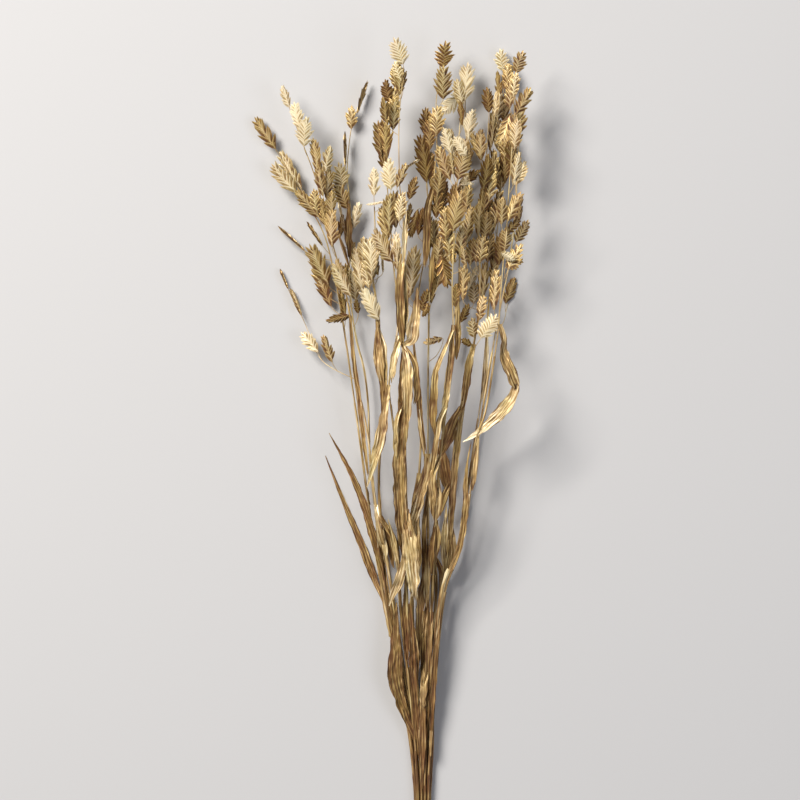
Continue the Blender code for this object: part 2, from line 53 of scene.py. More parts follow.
# Culms and the way the bunch fans out, in millimetres.
FOOT_RADIUS = 1.6
PANICLE_RADIUS = 1.05
TIP_RADIUS = 0.6
SOLID_SIDES = 6            # of a solid's culm, which lies on one of them
ROW_PITCH = 3.3
FAN_START = 30.0
FAN_END = 480.0
PANICLE_START = 560.0
DROOP_LENGTH = 200.0
CULM_STEP = 6.0

# How pale the gold is on a spikelet or blade. These tones paint in highlight and shade: CREAM is a painted
# highlight on ones that face the light, BRONZE a painted shade on ones in shade, with more of the straw
# showing.
BRONZE = 0.2
GOLD = 0.45
PALE = 0.72
CREAM = 1.0
# Painted shade: cover and tone are dimmed towards the cut ends, so the foot of the bunch is darker, where the
# light falls off.
DIMMEST_AT_FOOT = 0.45         # share of the cover and tone that is left at the cut ends
PAINTED_DIMMING_ENDS = 380.0       # where along the bunch the painted shade ends

# Foot: (across, row) in the imported bundle. Level: height of the seed head. Droop: fall of the tip.
# Culm, twigs: (across, along[, lift]) points; lift is a height above the stem's own level.
# Spikelets: base across, base along, tip across, tip along, width, turn about its length in degrees,
# lift of its base, rise of its tip, tone (painted highlight or shade).
# Leaves: points (across, along, lift), width, turn at its foot, turn at its tip and fold in degrees,
# where along its length it is widest, tone at its foot and its tip (painted highlight or shade).
# The "more" ones fill the bunch: spikelets and torn strips of dead leaf that the solids leave out.
# The hooked leaf of stem_13 is two halves that meet at a sharp fold: the last of its "more_leaves", and a
# "folded end", which goes on from there.
STEMS = {
    "stem_01": {
        "foot": (0.0, 0), "level": 15, "droop": 12,
        "culm": [(-4, 75), (-12, 125), (-31, 225), (-47, 325), (-58, 405), (-71, 495), (-80, 547),
                 (-92, 593), (-115, 633), (-140, 677)],
        "spikelets": [
            (-140, 677, -160, 710, 13, 12, 0, -3, GOLD),
            (-114, 637, -134, 676, 12, -15, -3, 0, PALE),
            (-119, 633, -143, 663, 15, 10, 3, 1, PALE),
            (-96, 608, -122, 635, 14, -12, 3, 2, GOLD),
            (-111, 575, -138, 600, 11, 80, -4, -2, BRONZE),
            (-93, 580, -109, 604, 8, 65, 2, 0, BRONZE),
            (-87, 540, -106, 582, 18, 14, 0, 2, GOLD),
            (-84, 519, -98, 557, 13, -25, -5, -2, BRONZE),
        ],
        "more_spikelets": [
            (-90, 533, -101, 568, 13, -15, -6, 0, GOLD),
            (-73, 533, -78, 567, 13, 12, 8, 1, PALE),
            (-70, 509, -75, 537, 9, 40, 4, 0, BRONZE),
        ],
        "leaves": [
            ([(-30, 216, 0), (-43.5, 252, -6), (-54, 281, -20), (-67.5, 313, -20), (-80.5, 345, -20),
              (-90, 369, -20)], 8, 0, 0, 10, 0.3, (BRONZE, BRONZE)),
        ],
    },
    "stem_02": {
        "foot": (1.2, 1), "level": 36, "droop": 12,
        "culm": [(-3, 75), (-11, 125), (-28, 225), (-40, 325), (-48, 395), (-58, 445), (-65, 509),
                 (-75, 555), (-88, 600), (-99, 645), (-111, 678), (-118, 697), (-126, 718)],
        "twigs": [[(-62, 443, 0), (-83, 457, -9), (-97, 470, -20), (-111, 503, -30), (-124, 529, -33)]],
        "spikelets": [
            (-126, 718, -134, 740, 9, 20, 0, 0, CREAM),
            (-115, 697, -120, 724, 13, -8, 2, 1, CREAM),
            (-111, 679, -108, 709, 17, 5, 4, 3, CREAM),
            (-97, 653, -103, 688, 11, -30, -2, 0, GOLD),
            (-92, 629, -96, 660, 11, 12, 3, 2, GOLD),
            (-90, 600, -94, 629, 11, -20, -4, -2, BRONZE),
            (-85, 607, -84, 635, 11, 15, 2, 1, GOLD),
            (-83, 578, -81, 617, 14, -10, 4, 2, GOLD),
            (-90, 653, -84, 680, 12, 25, 0, 2, PALE),
            (-90, 640, -95, 665, 7, -40, -5, 0, PALE),
            (-64, 529, -84, 559, 13, 14, 4, 2, PALE),
            (-65, 510, -89, 503, 9, -30, -2, -3, BRONZE),
            (-97, 473, -115, 493, 12, 8, -15, -7, CREAM),
            (-83, 463, -91, 491, 10, 25, -4, -5, GOLD),
            (-114, 510, -126, 537, 8, 55, -27, -2, GOLD),
            (-127.5, 537, -136, 557, 8, 70, -33, -1, BRONZE),
        ],
        "more_spikelets": [
            (-88, 625, -85, 660, 12, 16, -6, 0, GOLD),
            (-98, 612, -101, 637, 11, -14, -5, 0, GOLD),
        ],
        "leaves": [
            ([(-29, 236, 0), (-38, 276, 5), (-48, 312, 4), (-63, 350, 2), (-86, 392, 0)],
             10, 40, 15, 14, 0.35, (BRONZE, BRONZE)),
        ],
        "more_leaves": [
            ([(-39, 320, 6), (-37, 300, 8), (-37, 283, 7)], 7, 20, 50, 20, 0.5, (CREAM, CREAM)),
            ([(-67, 508, -2), (-62, 470, 0), (-57, 435, 0), (-53, 400, 0), (-47, 350, 0)],
             5, 20, -20, 20, 0.5, (GOLD, GOLD)),
        ],
    },
    "stem_03": {
        "foot": (3.5, 0), "level": 12, "droop": 6,
        "culm": [(-0.3, 75), (-8, 125), (-25, 225), (-38, 305), (-45, 365), (-47, 420), (-51, 455),
                 (-58, 482), (-62, 505), (-66, 540), (-65, 575), (-65, 618), (-68, 655), (-64, 697),
                 (-58, 713)],
        "spikelets": [
            (-58, 713, -48, 746, 12, 72, 0, 2, BRONZE),
            (-64, 697, -64, 721, 11, -15, 1, 0, GOLD),
            (-70, 660, -70, 695, 12, 78, 2, 1, BRONZE),
            (-73, 637, -77, 664, 17, 10, 3, 2, PALE),
            (-68, 617, -81, 645, 14, -14, 2, 1, GOLD),
            (-62, 597, -55, 624, 11, 18, 1, 0, CREAM),
            (-76, 587, -73, 612, 9, 35, 0, 1, BRONZE),
            (-71, 597, -77, 625, 10, 80, 5, 1, PALE),
            (-53, 533, -60, 579, 14, -12, 3, 2, PALE),
            (-57, 512, -60, 526, 7, 20, 0, 0, BRONZE),
        ],
        "more_spikelets": [
            (-59, 525, -66, 557, 13, -20, -4, 0, PALE),
            (-63, 563, -63, 585, 10, 25, -3, 0, GOLD),
            (-70, 535, -70, 563, 10, 30, -4, 0, BRONZE),
        ],
        "leaves": [
            ([(-66, 566, 0), (-66, 595, 3), (-66, 622, 4)], 11, 20, 50, 20, 0.5, (BRONZE, BRONZE)),
            ([(-65, 558, 2), (-71, 576, 4), (-78, 595, 5)], 4, 20, 40, 14, 0.5, (BRONZE, BRONZE)),
        ],
    },
    "stem_04": {
        "foot": (4.7, 1), "level": 45, "droop": 4,
        "culm": [(1, 75), (-6.5, 125), (-22, 225), (-31, 285), (-36, 330), (-35, 375), (-30, 410),
                 (-33, 440), (-36, 480), (-38, 518), (-42, 550), (-40, 590), (-41, 629)],
        "spikelets": [
            (-41, 629, -41, 658, 11, -8, 0, 2, CREAM),
            (-29, 623, -49, 620, 10, 75, 6, 1, CREAM),
            (-43, 543, -46, 583, 14, 10, 3, 2, PALE),
            (-46, 537, -50, 565, 11, -22, -3, 0, PALE),
            (-36, 505, -54, 537, 15, -12, 5, 4, CREAM),
            (-37, 550, -41, 572, 9, 30, -4, -1, BRONZE),
            (-32, 553, -33, 573, 9, 78, 0, 0, PALE),
        ],
        "more_spikelets": [
            (-43, 550, -45, 588, 15, -14, 10, 2, PALE),
            (-53, 563, -51, 589, 12, 20, -7, 0, PALE),
        ],
        "leaves": [
            ([(-33, 432, 2), (-35, 462, 4), (-38, 505, 4)], 11, 10, 40, 30, 0.5, (GOLD, GOLD)),
            ([(-30, 268, 2), (-34, 284, 8), (-37, 300, 10), (-39, 318, 8)],
             7, 0, 5, 18, 0.4, (GOLD, PALE)),
        ],
        "more_leaves": [
            ([(-32, 498, 3), (-31, 480, 5), (-30, 462, 5), (-28, 446, 4)],
             6, -15, -20, 20, 0.5, (PALE, GOLD)),
            ([(-32, 295, 3), (-31, 283, 6), (-29, 268, 5)], 6, -20, -10, 20, 0.6, (PALE, PALE)),
            ([(-29, 309, 1), (-25, 285, 3), (-21, 258, 2)], 9, -25, -60, 24, 0.6, (BRONZE, BRONZE)),
            ([(-37.5, 505, -2), (-35, 475, 0), (-31.5, 445, 1), (-30.5, 420, 0), (-32, 400, 0)],
             8, -15, -5, 26, 0.5, (BRONZE, GOLD)),
            ([(-26, 307, 4), (-21, 285, 6), (-18, 268, 6), (-16, 255, 5)],
             7, -20, -15, 20, 0.6, (GOLD, PALE)),
        ],
    },
    "stem_05": {
        "foot": (3.0, 2), "level": 52, "droop": 8,
        "culm": [(0.5, 75), (-4, 125), (-15, 225), (-17, 325), (-19, 375), (-23, 410), (-26, 440),
                 (-22, 468), (-17, 500), (-18, 530), (-22, 563), (-24, 593), (-27, 630), (-30, 665),
                 (-28, 705), (-26, 723)],
        "spikelets": [
            (-26, 723, -29, 746, 14, 15, 0, 0, BRONZE),
            (-24, 701, -22, 730, 14, -20, 2, 0, GOLD),
            (-34, 669, -37, 705, 14, 18, -2, 0, BRONZE),
            (-28, 667, -29, 707, 13, -24, 3, 2, BRONZE),
            (-24, 635, -27, 667, 16, -10, 3, 2, CREAM),
            (-26, 593, -24, 632, 12, 14, 3, 1, GOLD),
            (-27, 585, -34, 620, 12, -18, -3, 0, GOLD),
            (-23, 563, -41, 596, 17, 12, 2, 2, PALE),
        ],
        "more_spikelets": [
            (-24, 703, -20, 740, 12, -12, -4, 0, GOLD),
            (-19, 597, -22, 635, 14, 16, -6, 0, GOLD),
            (-19, 563, -18, 593, 10, -30, 8, 1, CREAM),
            (-30, 655, -33, 690, 13, 15, -6, 0, BRONZE),
            (-22, 695, -20, 728, 12, 14, 4, 0, GOLD),
        ],
        "leaves": [
            ([(-26, 440, 1), (-30.5, 412, 4), (-35, 384, 6), (-42, 358, 6), (-48, 338, 3)],
             11, -5, -10, 22, 0.55, (GOLD, PALE)),
            ([(-16, 242, 1), (-18, 265, 4), (-22, 285, 5), (-27, 306, 4)],
             6, 30, -15, 20, 0.6, (PALE, PALE)),
            ([(-1, 86, 0), (-11, 112, 2), (-19.5, 145, 3), (-19.5, 175, 3), (-19, 205, 3), (-18.5, 222, 1)],
             15, -15, 5, 12, 0.5, (BRONZE, BRONZE)),
        ],
        "more_leaves": [
            ([(-17, 490, 3), (-19, 473, 6), (-21, 459, 7), (-22, 445, 5)],
             7, 30, -40, 24, 0.5, (PALE, PALE)),
        ],
    },
    "stem_06": {
        "foot": (6.5, 2), "level": 74, "droop": 12,
        "culm": [(4.5, 75), (1, 125), (-8, 225), (-9, 325), (-10, 375), (-12, 425), (-12, 495), (-14, 525),
                 (-12, 565), (-12, 609), (-15, 635), (-16, 665), (-16, 700), (-14, 729), (-11, 749),
                 (-12, 760)],
        "spikelets": [
            (-12, 760, -22, 787, 17, 5, 0, 2, CREAM),
            (-14, 743, -20, 763, 10, -15, 1, 0, PALE),
            (-16, 729, -13, 755, 10, 22, -3, 0, GOLD),
            (-18, 637, -9, 662, 10, 12, 2, 1, GOLD),
            (-8, 657, 5, 665, 9, 75, 0, 1, PALE),
            (-16, 603, -12, 633, 12, -18, 3, 2, PALE),
            (-6, 625, 1, 648, 10, 20, 2, 0, BRONZE),
            (-7, 600, -5, 622, 9, 50, -6, 0, BRONZE),
        ],
        "more_spikelets": [
            (-12, 737, -16, 761, 11, 24, -5, 0, GOLD),
            (-19, 737, -22, 759, 10, -18, -2, 0, GOLD),
            (-18, 555, -16, 585, 9, 25, -4, 0, PALE),
            (-29, 702, -33, 728, 9, 20, -3, 0, BRONZE),
        ],
        "leaves": [
            ([(-11.5, 479, 0), (-8.5, 465, 5), (-7.5, 448, 6), (-8, 425, 6), (-9, 405, 5), (-10.5, 385, 4),
              (-11, 362, 3)], 12, -4, -6, 16, 0.3, (PALE, BRONZE)),
            ([(-10, 480, 0), (-4, 485, 4), (-2, 497, 5), (1, 515, 5), (2, 537, 5)],
             13, -10, 10, 20, 0.3, (PALE, GOLD)),
            ([(-9, 276, 1), (-14, 252, 8), (-20, 235, 9), (-26, 219, 7)],
             10, -8, -14, 18, 0.6, (GOLD, CREAM)),
            ([(6, 34, 0), (7, 66, 3), (7.5, 100, 3.5), (7, 146, 3)], 9, 0, 25, 24, 0.6, (GOLD, GOLD)),
            ([(2, 128, 1), (0, 170, 3), (-4, 214, 2)], 8, -20, 12, 26, 0.5, (GOLD, GOLD)),
            ([(-12, 552, 0), (-11, 580, 5), (-9, 613, 6)], 6, 0, -30, 22, 0.6, (PALE, PALE)),
        ],
        "more_leaves": [
            ([(-13, 572, 1), (-15, 540, 3), (-14.5, 510, 4), (-13, 483, 3)],
             9, -10, -5, 26, 0.5, (GOLD, BRONZE)),
            ([(-8, 318, 1), (-7, 280, 4), (-8, 250, 3)], 9, 25, -30, 26, 0.6, (GOLD, GOLD)),
            ([(3, 70, 1), (0, 120, 3), (-3, 170, 4), (-6, 222, 3)],
             7, 20, -20, 24, 0.5, (BRONZE, BRONZE)),
            ([(-9, 440, -2), (-13, 405, 0), (-15, 375, 0), (-16, 340, 0), (-14, 300, 0), (-12, 270, -2)],
             13, -10, 15, 24, 0.5, (GOLD, BRONZE)),
            ([(-10, 560, -2), (-10, 525, 0), (-12, 482, 0)], 8, 15, -20, 24, 0.5, (GOLD, GOLD)),
            ([(-17, 492, 1), (-20, 472, 3), (-24, 448, 4)], 6, 10, 0, 26, 0.6, (GOLD, PALE)),
            ([(-21, 425, 2), (-19, 400, 3), (-19, 368, 2)], 5, -10, -10, 20, 0.7, (GOLD, PALE)),
            ([(-12, 245, 0), (-10, 205, 0), (-8, 165, 0)], 6, -15, 20, 22, 0.5, (BRONZE, BRONZE)),
            ([(-4, 480, 1), (-1, 463, 4), (1, 447, 5), (1, 430, 4), (-1, 422, 3)],
             7, 10, 20, 24, 0.7, (BRONZE, BRONZE)),
            ([(-8, 310, 1), (-5, 282, 6), (-2, 252, 7), (0, 228, 6)],
             16, -12, -20, 18, 0.4, (GOLD, CREAM)),
            ([(-15, 480, 0), (-14.5, 450, 2), (-14, 415, 2)], 3.5, 20, 30, 20, 0.5, (BRONZE, BRONZE)),
        ],
    },
    "stem_07": {
        "foot": (7.0, 0), "level": 16, "droop": 8,
        "culm": [(5.5, 75), (3, 125), (-3, 225), (3, 325), (6, 395), (2, 435), (-1, 480), (2, 505),
                 (4, 535), (9, 565), (13, 590), (15, 613), (12, 636), (12, 660), (13, 687)],
        "spikelets": [
            (13, 687, 11, 719, 14, -12, 0, 1, BRONZE),
            (12, 643, 3, 692, 17, 10, 3, 2, BRONZE),
            (16, 638, 17, 675, 10, -25, 0, 0, BRONZE),
            (-5, 530, -2, 580, 14, 8, 6, 2, PALE),
            (3, 616, -6, 587, 9, 20, 5, -2, BRONZE),
        ],
        "more_spikelets": [
            (-8, 525, -9, 557, 13, -22, -3, 0, PALE),
            (17, 687, 20, 716, 13, -12, 6, 0, BRONZE),
            (6, 515, 12, 537, 11, 20, 8, 0, BRONZE),
            (15, 676, 16, 710, 14, -10, 6, 0, BRONZE),
        ],
        "leaves": [
            ([(-1, 478, 0), (3, 435, 3), (6, 405, 4), (12, 370, 3)],
             6, 35, -20, 18, 0.5, (BRONZE, BRONZE)),
        ],
        "more_leaves": [
            ([(2, 312, 1), (2, 275, 4), (1, 245, 3)], 9, -30, 35, 24, 0.6, (GOLD, GOLD)),
            ([(1, 428, 2), (4, 410, 4), (7, 385, 4), (10, 368, 3)], 4, -10, -20, 22, 0.5, (PALE, GOLD)),
            ([(3, 350, 0), (0, 320, 2), (1, 290, 2), (2, 250, 0)], 8, -20, 10, 24, 0.5, (GOLD, GOLD)),
        ],
    },
    "stem_08": {
        "foot": (8.2, 1), "level": 42, "droop": 8,
        "culm": [(9, 75), (11, 125), (13, 225), (13, 425), (14, 515), (15, 555), (14, 585), (16, 613),
                 (19, 645), (22, 685), (21, 720), (24, 742), (28, 758)],
        "twigs": [[(14, 464, 0), (21, 469, -3), (26, 477, -5)]],
        "spikelets": [
            (28, 758, 30, 785, 19, -8, 0, 1, BRONZE),
            (28, 726, 29, 761, 19, 14, 3, 2, GOLD),
            (21, 689, 22, 720, 15, -16, 2, 0, GOLD),
            (29, 595, 30, 617, 9, 30, -3, 0, GOLD),
            (30, 644, 25, 670, 11, 12, -2, 0, CREAM),
            (22, 538, 30, 578, 16, -10, -3, 0, GOLD),
            (13, 522, 7, 508, 8, 25, 3, -2, BRONZE),
            (27, 487, 8, 482, 8, 12, -5, -2, GOLD),
        ],
        "more_spikelets": [
            (14, 573, 16, 612, 9, 35, -6, 0, BRONZE),
            (21, 607, 22, 642, 12, -18, 2, 0, BRONZE),
            (19, 533, 21, 573, 13, 18, -8, 0, GOLD),
            (26, 569, 33, 536, 14, -10, 6, -3, BRONZE),
            (16, 522, 21, 548, 8, 40, -3, 0, BRONZE),
            (26, 611, 32, 645, 14, 12, -6, 0, BRONZE),
            (22, 570, 20, 607, 12, -22, -4, 0, GOLD),
            (3, 590, 8, 618, 9, 30, -2, 0, BRONZE),
            (22, 563, 26, 589, 12, 18, 4, 0, GOLD),
            (22, 628, 24, 660, 13, 14, 6, 0, GOLD),
        ],
        "leaves": [
            ([(13, 356, 1), (8, 338, 5), (0, 315, 8), (-4, 270, 9), (-3, 228, 7)],
             13, -10, -15, 22, 0.8, (GOLD, CREAM)),
            ([(14, 530, 0), (17, 552, 4), (18, 578, 4)], 6, 0, 40, 22, 0.6, (BRONZE, BRONZE)),
        ],
        "more_leaves": [
            ([(13.5, 362, 2), (14, 345, 4), (13.5, 330, 4)], 3.5, -10, -10, 20, 0.5, (PALE, PALE)),
            ([(13, 278, 1), (12.5, 252, 12), (12, 221, 15)], 7, -20, -30, 20, 0.5, (GOLD, PALE)),
            ([(13, 226, 1), (8, 180, 3), (8, 130, 3)], 6, -15, 30, 22, 0.5, (GOLD, GOLD)),
            ([(14, 372, 1), (11, 350, 5), (5, 325, 9), (-1, 303, 10)],
             11, -25, -15, 20, 0.5, (GOLD, PALE)),
            ([(8, 262, 0), (6, 225, 2), (4, 190, 2), (3, 160, 0)], 9, -10, 20, 22, 0.4, (GOLD, GOLD)),
            ([(13, 640, 3), (12, 615, 5), (12, 590, 5), (11, 560, 3)],
             8, 10, -20, 24, 0.5, (BRONZE, BRONZE)),
            ([(12, 335, 1), (9, 300, 3), (9, 265, 3), (8, 240, 2)], 5, -10, 10, 22, 0.5, (GOLD, GOLD)),
            ([(11, 166, 4), (10, 142, 10), (8, 115, 11)], 8, -10, -30, 24, 0.5, (GOLD, CREAM)),
        ],
    },
    "stem_09": {
        "foot": (10.0, 2), "level": 62, "droop": 10,
        "culm": [(10.5, 75), (13, 125), (17, 225), (22, 325), (26, 375), (32, 425), (35, 480), (38, 500),
                 (37, 535), (38, 565), (40, 593), (41, 625), (42, 645), (44, 690), (47, 717)],
        "spikelets": [
            (47, 717, 41, 746, 12, 10, 0, 1, PALE),
            (47, 699, 44, 725, 8, -45, 3, 0, BRONZE),
            (36, 671, 28, 697, 12, -14, 3, 3, CREAM),
            (40, 665, 35, 697, 12, 12, 0, 1, PALE),
            (43, 645, 52, 677, 17, 6, 3, 2, GOLD),
            (38, 593, 48, 635, 18, -8, 3, 2, GOLD),
            (40, 603, 40, 625, 10, 30, -4, 0, GOLD),
            (45, 640, 59, 641, 8, 60, 4, 1, CREAM),
        ],
        "more_spikelets": [
            (31, 585, 29, 619, 14, -14, -10, 0, GOLD),
            (37, 609, 42, 643, 14, 18, -9, 0, BRONZE),
            (34, 570, 34, 603, 13, -20, -14, 0, GOLD),
            (44, 569, 47, 599, 12, 15, -8, 0, GOLD),
            (38, 577, 38, 560, 9, 40, -4, 0, BRONZE),
            (40, 518, 40, 542, 9, -30, -5, 0, BRONZE),
            (51, 669, 38, 688, 12, -12, 8, 1, CREAM),
            (35, 645, 23, 680, 13, -12, -8, 0, GOLD),
            (38, 650, 35, 672, 9, 30, 6, 0, GOLD),
            (50, 612, 55, 640, 11, 20, 4, 0, GOLD),
            (50, 560, 47, 579, 9, 25, 4, 0, GOLD),
        ],
        "leaves": [
            ([(36, 495, 0), (31, 478, 4), (25, 464, 6), (20.5, 450, 6), (19.5, 430, 6), (18.5, 410, 5),
              (19.5, 390, 4)], 9, -10, -20, 24, 0.8, (PALE, BRONZE)),
        ],
        "more_leaves": [
            ([(27, 422, 1), (25, 404, 4), (22.5, 390, 5), (19, 370, 5), (16, 348, 3)],
             6, -10, -15, 24, 0.7, (PALE, GOLD)),
            ([(22, 345, 1), (23, 325, 4), (21, 305, 3)], 8, -30, 30, 26, 0.5, (GOLD, GOLD)),
            ([(22, 306, 1), (22, 285, 3), (19, 263, 3)], 7, 20, 50, 24, 0.5, (BRONZE, BRONZE)),
            ([(15, 215, 1), (14, 175, 3), (12, 125, 3), (11, 80, 2)], 7, 15, -25, 22, 0.5, (GOLD, GOLD)),
            ([(17, 305, 0), (17, 275, 2), (16, 250, 1)], 6, 10, -20, 22, 0.5, (BRONZE, BRONZE)),
            ([(38, 500, -2), (35.5, 465, 0), (33.5, 450, 0), (31.5, 435, 0), (29, 415, 0), (26, 395, -1)],
             6.5, 10, -10, 26, 0.5, (BRONZE, PALE)),
            ([(21, 372, 1), (18, 350, 4), (18, 330, 4), (18, 308, 3)],
             8, -10, -15, 24, 0.5, (GOLD, GOLD)),
        ],
    },
    "stem_10": {
        "foot": (10.5, 0), "level": 9, "droop": 3,
        "culm": [(11, 75), (12, 125), (21, 225), (20, 275), (23, 345), (28, 395), (33, 425), (40, 475),
                 (43, 495), (44, 545), (45, 579), (46, 605), (48, 645), (52, 685), (51, 705), (50, 725)],
        "spikelets": [
            (50, 725, 54, 764, 16, 5, 14, 3, CREAM),
            (47, 731, 25, 712, 16, -10, 14, 0, CREAM),
            (53, 685, 59, 717, 13, 16, 12, 1, CREAM),
            (44, 640, 66, 657, 11, 30, 1, 0, BRONZE),
            (43, 579, 49, 605, 9, -22, 3, 1, CREAM),
            (49, 578, 57, 601, 8, 35, -3, 0, PALE),
            (47, 662, 52, 690, 11, -14, 3, 1, PALE),
            (52, 535, 63, 561, 10, 50, 2, 0, CREAM),
            (59, 522, 57, 545, 11, 14, -2, 0, PALE),
        ],
        "more_spikelets": [
            (52, 654, 54, 685, 11, 20, 8, 0, GOLD),
            (52, 587, 55, 621, 12, -16, 9, 0, GOLD),
            (46, 503, 54, 522, 10, 30, 6, 0, BRONZE),
            (48, 622, 52, 652, 12, -18, 12, 0, PALE),
        ],
        "leaves": [
            ([(33, 425, 1), (26, 408, 3), (18, 374, 2)], 7, 30, 0, 18, 0.5, (GOLD, GOLD)),
            ([(26, 386, 0), (27, 372, 4), (30, 352, 5), (34, 328, 3)],
             14, -12, 10, 14, 0.55, (BRONZE, BRONZE)),
            ([(41, 480, 0), (43, 512, 3), (44, 545, 4)], 6, 0, 40, 24, 0.5, (GOLD, GOLD)),
        ],
        "more_leaves": [
            ([(21, 268, 1), (27, 250, 3), (25, 225, 2)], 6, -20, 20, 20, 0.5, (BRONZE, BRONZE)),
            ([(44, 510, 0), (43, 490, 2), (42, 468, 1)], 6, 20, -10, 22, 0.5, (BRONZE, BRONZE)),
        ],
    },
    "stem_11": {
        "foot": (11.7, 1), "level": 32, "droop": 8,
        "culm": [(13, 75), (16, 125), (25, 225), (35, 285), (35, 325), (38, 365), (42, 395), (50, 430),
                 (58, 475), (64, 515), (65, 555), (64, 595), (68, 635), (72, 675), (74, 713)],
        "spikelets": [
            (74, 713, 72, 739, 12, 15, 0, 0, BRONZE),
            (80, 708, 81, 735, 8, -35, 2, 1, PALE),
            (66, 665, 65, 697, 12, -10, 1, 1, GOLD),
            (68, 635, 72, 672, 13, 12, 3, 2, BRONZE),
            (74, 625, 80, 660, 13, -20, 0, 0, GOLD),
            (61, 563, 64, 590, 13, 10, 2, 1, GOLD),
            (66, 487, 81, 512, 17, -10, 13, 3, CREAM),
            (59, 488, 57, 508, 12, 10, 5, 1, PALE),
            (56, 480, 46, 486, 9, -25, 2, 0, BRONZE),
            (75, 675, 78, 718, 10, 40, -5, -2, GOLD),
        ],
        "more_spikelets": [
            (55, 560, 59, 588, 13, 18, -7, 0, GOLD),
            (65, 562, 67, 591, 13, -15, 4, 0, GOLD),
            (68, 611, 74, 647, 13, 14, -6, 0, BRONZE),
            (63, 590, 64, 625, 11, 24, -5, 0, GOLD),
            (48, 525, 50, 563, 11, -20, 3, 0, GOLD),
            (70, 585, 73, 615, 12, 14, -4, 0, GOLD),
            (64, 505, 70, 530, 11, -20, 6, 0, GOLD),
            (66, 668, 57, 693, 10, 16, -2, 0, GOLD),
        ],
        "leaves": [
            ([(28, 252, 1), (28.5, 280, 16), (30, 302, 22), (31.5, 321, 22)],
             8, -20, -30, 18, 0.5, (GOLD, PALE)),
        ],
        "more_leaves": [
            ([(45, 417, 1), (38.5, 402, 3), (33, 387, 4), (27, 373, 2)],
             11, -30, 10, 24, 0.5, (BRONZE, BRONZE)),
            ([(49, 425, 0), (43, 385, 2), (39, 345, 2), (36, 305, 2), (35, 275, 0)],
             7, 12, -15, 22, 0.5, (GOLD, GOLD)),
            ([(33, 345, 0), (28, 325, 2), (25, 310, 1)], 8, -15, 20, 24, 0.5, (BRONZE, BRONZE)),
            ([(57, 482, -2), (53.5, 455, 0), (50, 430, 0), (47, 415, 0)],
             8, -5, -15, 24, 0.4, (GOLD, BRONZE)),
            ([(41, 300, 0), (38, 275, 1), (34, 250, 0)], 8, 15, -20, 22, 0.5, (GOLD, GOLD)),
        ],
    },
    "stem_12": {
        "foot": (14.0, 0), "level": 13, "droop": 6,
        "culm": [(16.5, 75), (19, 125), (28, 225), (43, 272), (50, 320), (55, 350), (60, 385), (66, 425),
                 (71, 480), (74, 520), (78, 560), (82, 590), (86, 630), (88, 665), (90, 700), (92, 727),
                 (88, 756)],
        "spikelets": [
            (88, 756, 86, 778, 14, -8, 0, 1, CREAM),
            (89, 737, 96, 762, 9, 20, 1, 1, GOLD),
            (85, 726, 83, 756, 8, -40, -2, 0, BRONZE),
            (90, 703, 90, 732, 12, 10, 3, 1, GOLD),
            (90, 643, 93, 680, 12, -14, 2, 1, BRONZE),
            (75, 589, 77, 625, 14, 12, 3, 2, GOLD),
            (84, 675, 85, 707, 14, -18, 2, 2, PALE),
            (81, 560, 71, 586, 10, 30, -3, -1, BRONZE),
        ],
        "more_spikelets": [
            (80, 637, 79, 677, 13, -16, 8, 0, GOLD),
            (82, 703, 84, 734, 12, 14, 9, 0, PALE),
            (90, 665, 88, 699, 13, -20, 9, 0, GOLD),
            (85, 635, 88, 670, 13, 18, -2, 0, BRONZE),
            (73, 563, 77, 593, 12, -25, 6, 0, GOLD),
            (93, 735, 93, 763, 12, -22, 6, 0, GOLD),
            (67, 525, 69, 565, 10, 16, 5, 0, GOLD),
            (80, 600, 84, 636, 13, -14, 10, 0, GOLD),
            (84, 560, 86, 595, 12, 16, 8, 0, BRONZE),
            (77, 545, 80, 575, 11, -20, 4, 0, GOLD),
        ],
        "more_leaves": [
            ([(75, 490, 0), (71, 460, 1), (67, 425, 0)], 5, 20, -10, 20, 0.5, (PALE, PALE)),
        ],
    },
    "stem_13": {
        "foot": (13.5, 2), "level": 64, "droop": 12,
        "culm": [(15, 75), (17, 125), (25.5, 225), (41.5, 275), (50, 320), (56, 360), (62, 390), (70, 412),
                 (77, 452), (83, 495), (85, 525), (88, 563), (91, 589), (93, 625), (96, 665), (99, 705),
                 (99, 727), (101, 752)],
        "spikelets": [
            (101, 752, 109, 774, 14, 8, 0, 1, GOLD),
            (98, 727, 101, 753, 10, -18, 3, 1, PALE),
            (101, 711, 115, 738, 14, 14, -2, -2, GOLD),
            (99, 675, 101, 707, 14, -10, 3, 2, PALE),
            (98, 639, 105, 673, 10, 25, 0, 0, PALE),
            (92, 603, 106, 633, 12, -8, 3, 2, GOLD),
            (91, 592, 105, 606, 10, 20, -4, -2, BRONZE),
            (86, 572, 100, 565, 12, 35, 3, 0, CREAM),
            (93, 555, 106, 582, 13, -18, -3, -2, GOLD),
        ],
        "more_spikelets": [
            (95, 709, 83, 678, 15, 25, 4, -3, GOLD),
            (95, 717, 94, 748, 13, -24, -8, 0, GOLD),
            (89, 574, 90, 598, 14, 16, -7, 0, GOLD),
            (86, 600, 88, 628, 12, 20, 5, 0, GOLD),
        ],
        "leaves": [
            ([(31, 238, 1), (44, 275, 2), (51, 318, 3), (51, 345, 4), (56, 384, 4)],
             7, -10, 50, 26, 0.5, (GOLD, GOLD)),
        ],
        "more_leaves": [
            ([(25, 216, 1), (19, 150, 3), (16, 90, 2)], 6, 20, -20, 22, 0.5, (BRONZE, BRONZE)),
            ([(83, 499, 0), (87.5, 486, 5), (87.5, 473, 6), (91, 462, 6), (95.5, 452, 6), (100.5, 440, 6)],
             12, 50, 5, 16, 0.8, (GOLD, GOLD)),
        ],
        "folded_ends": [
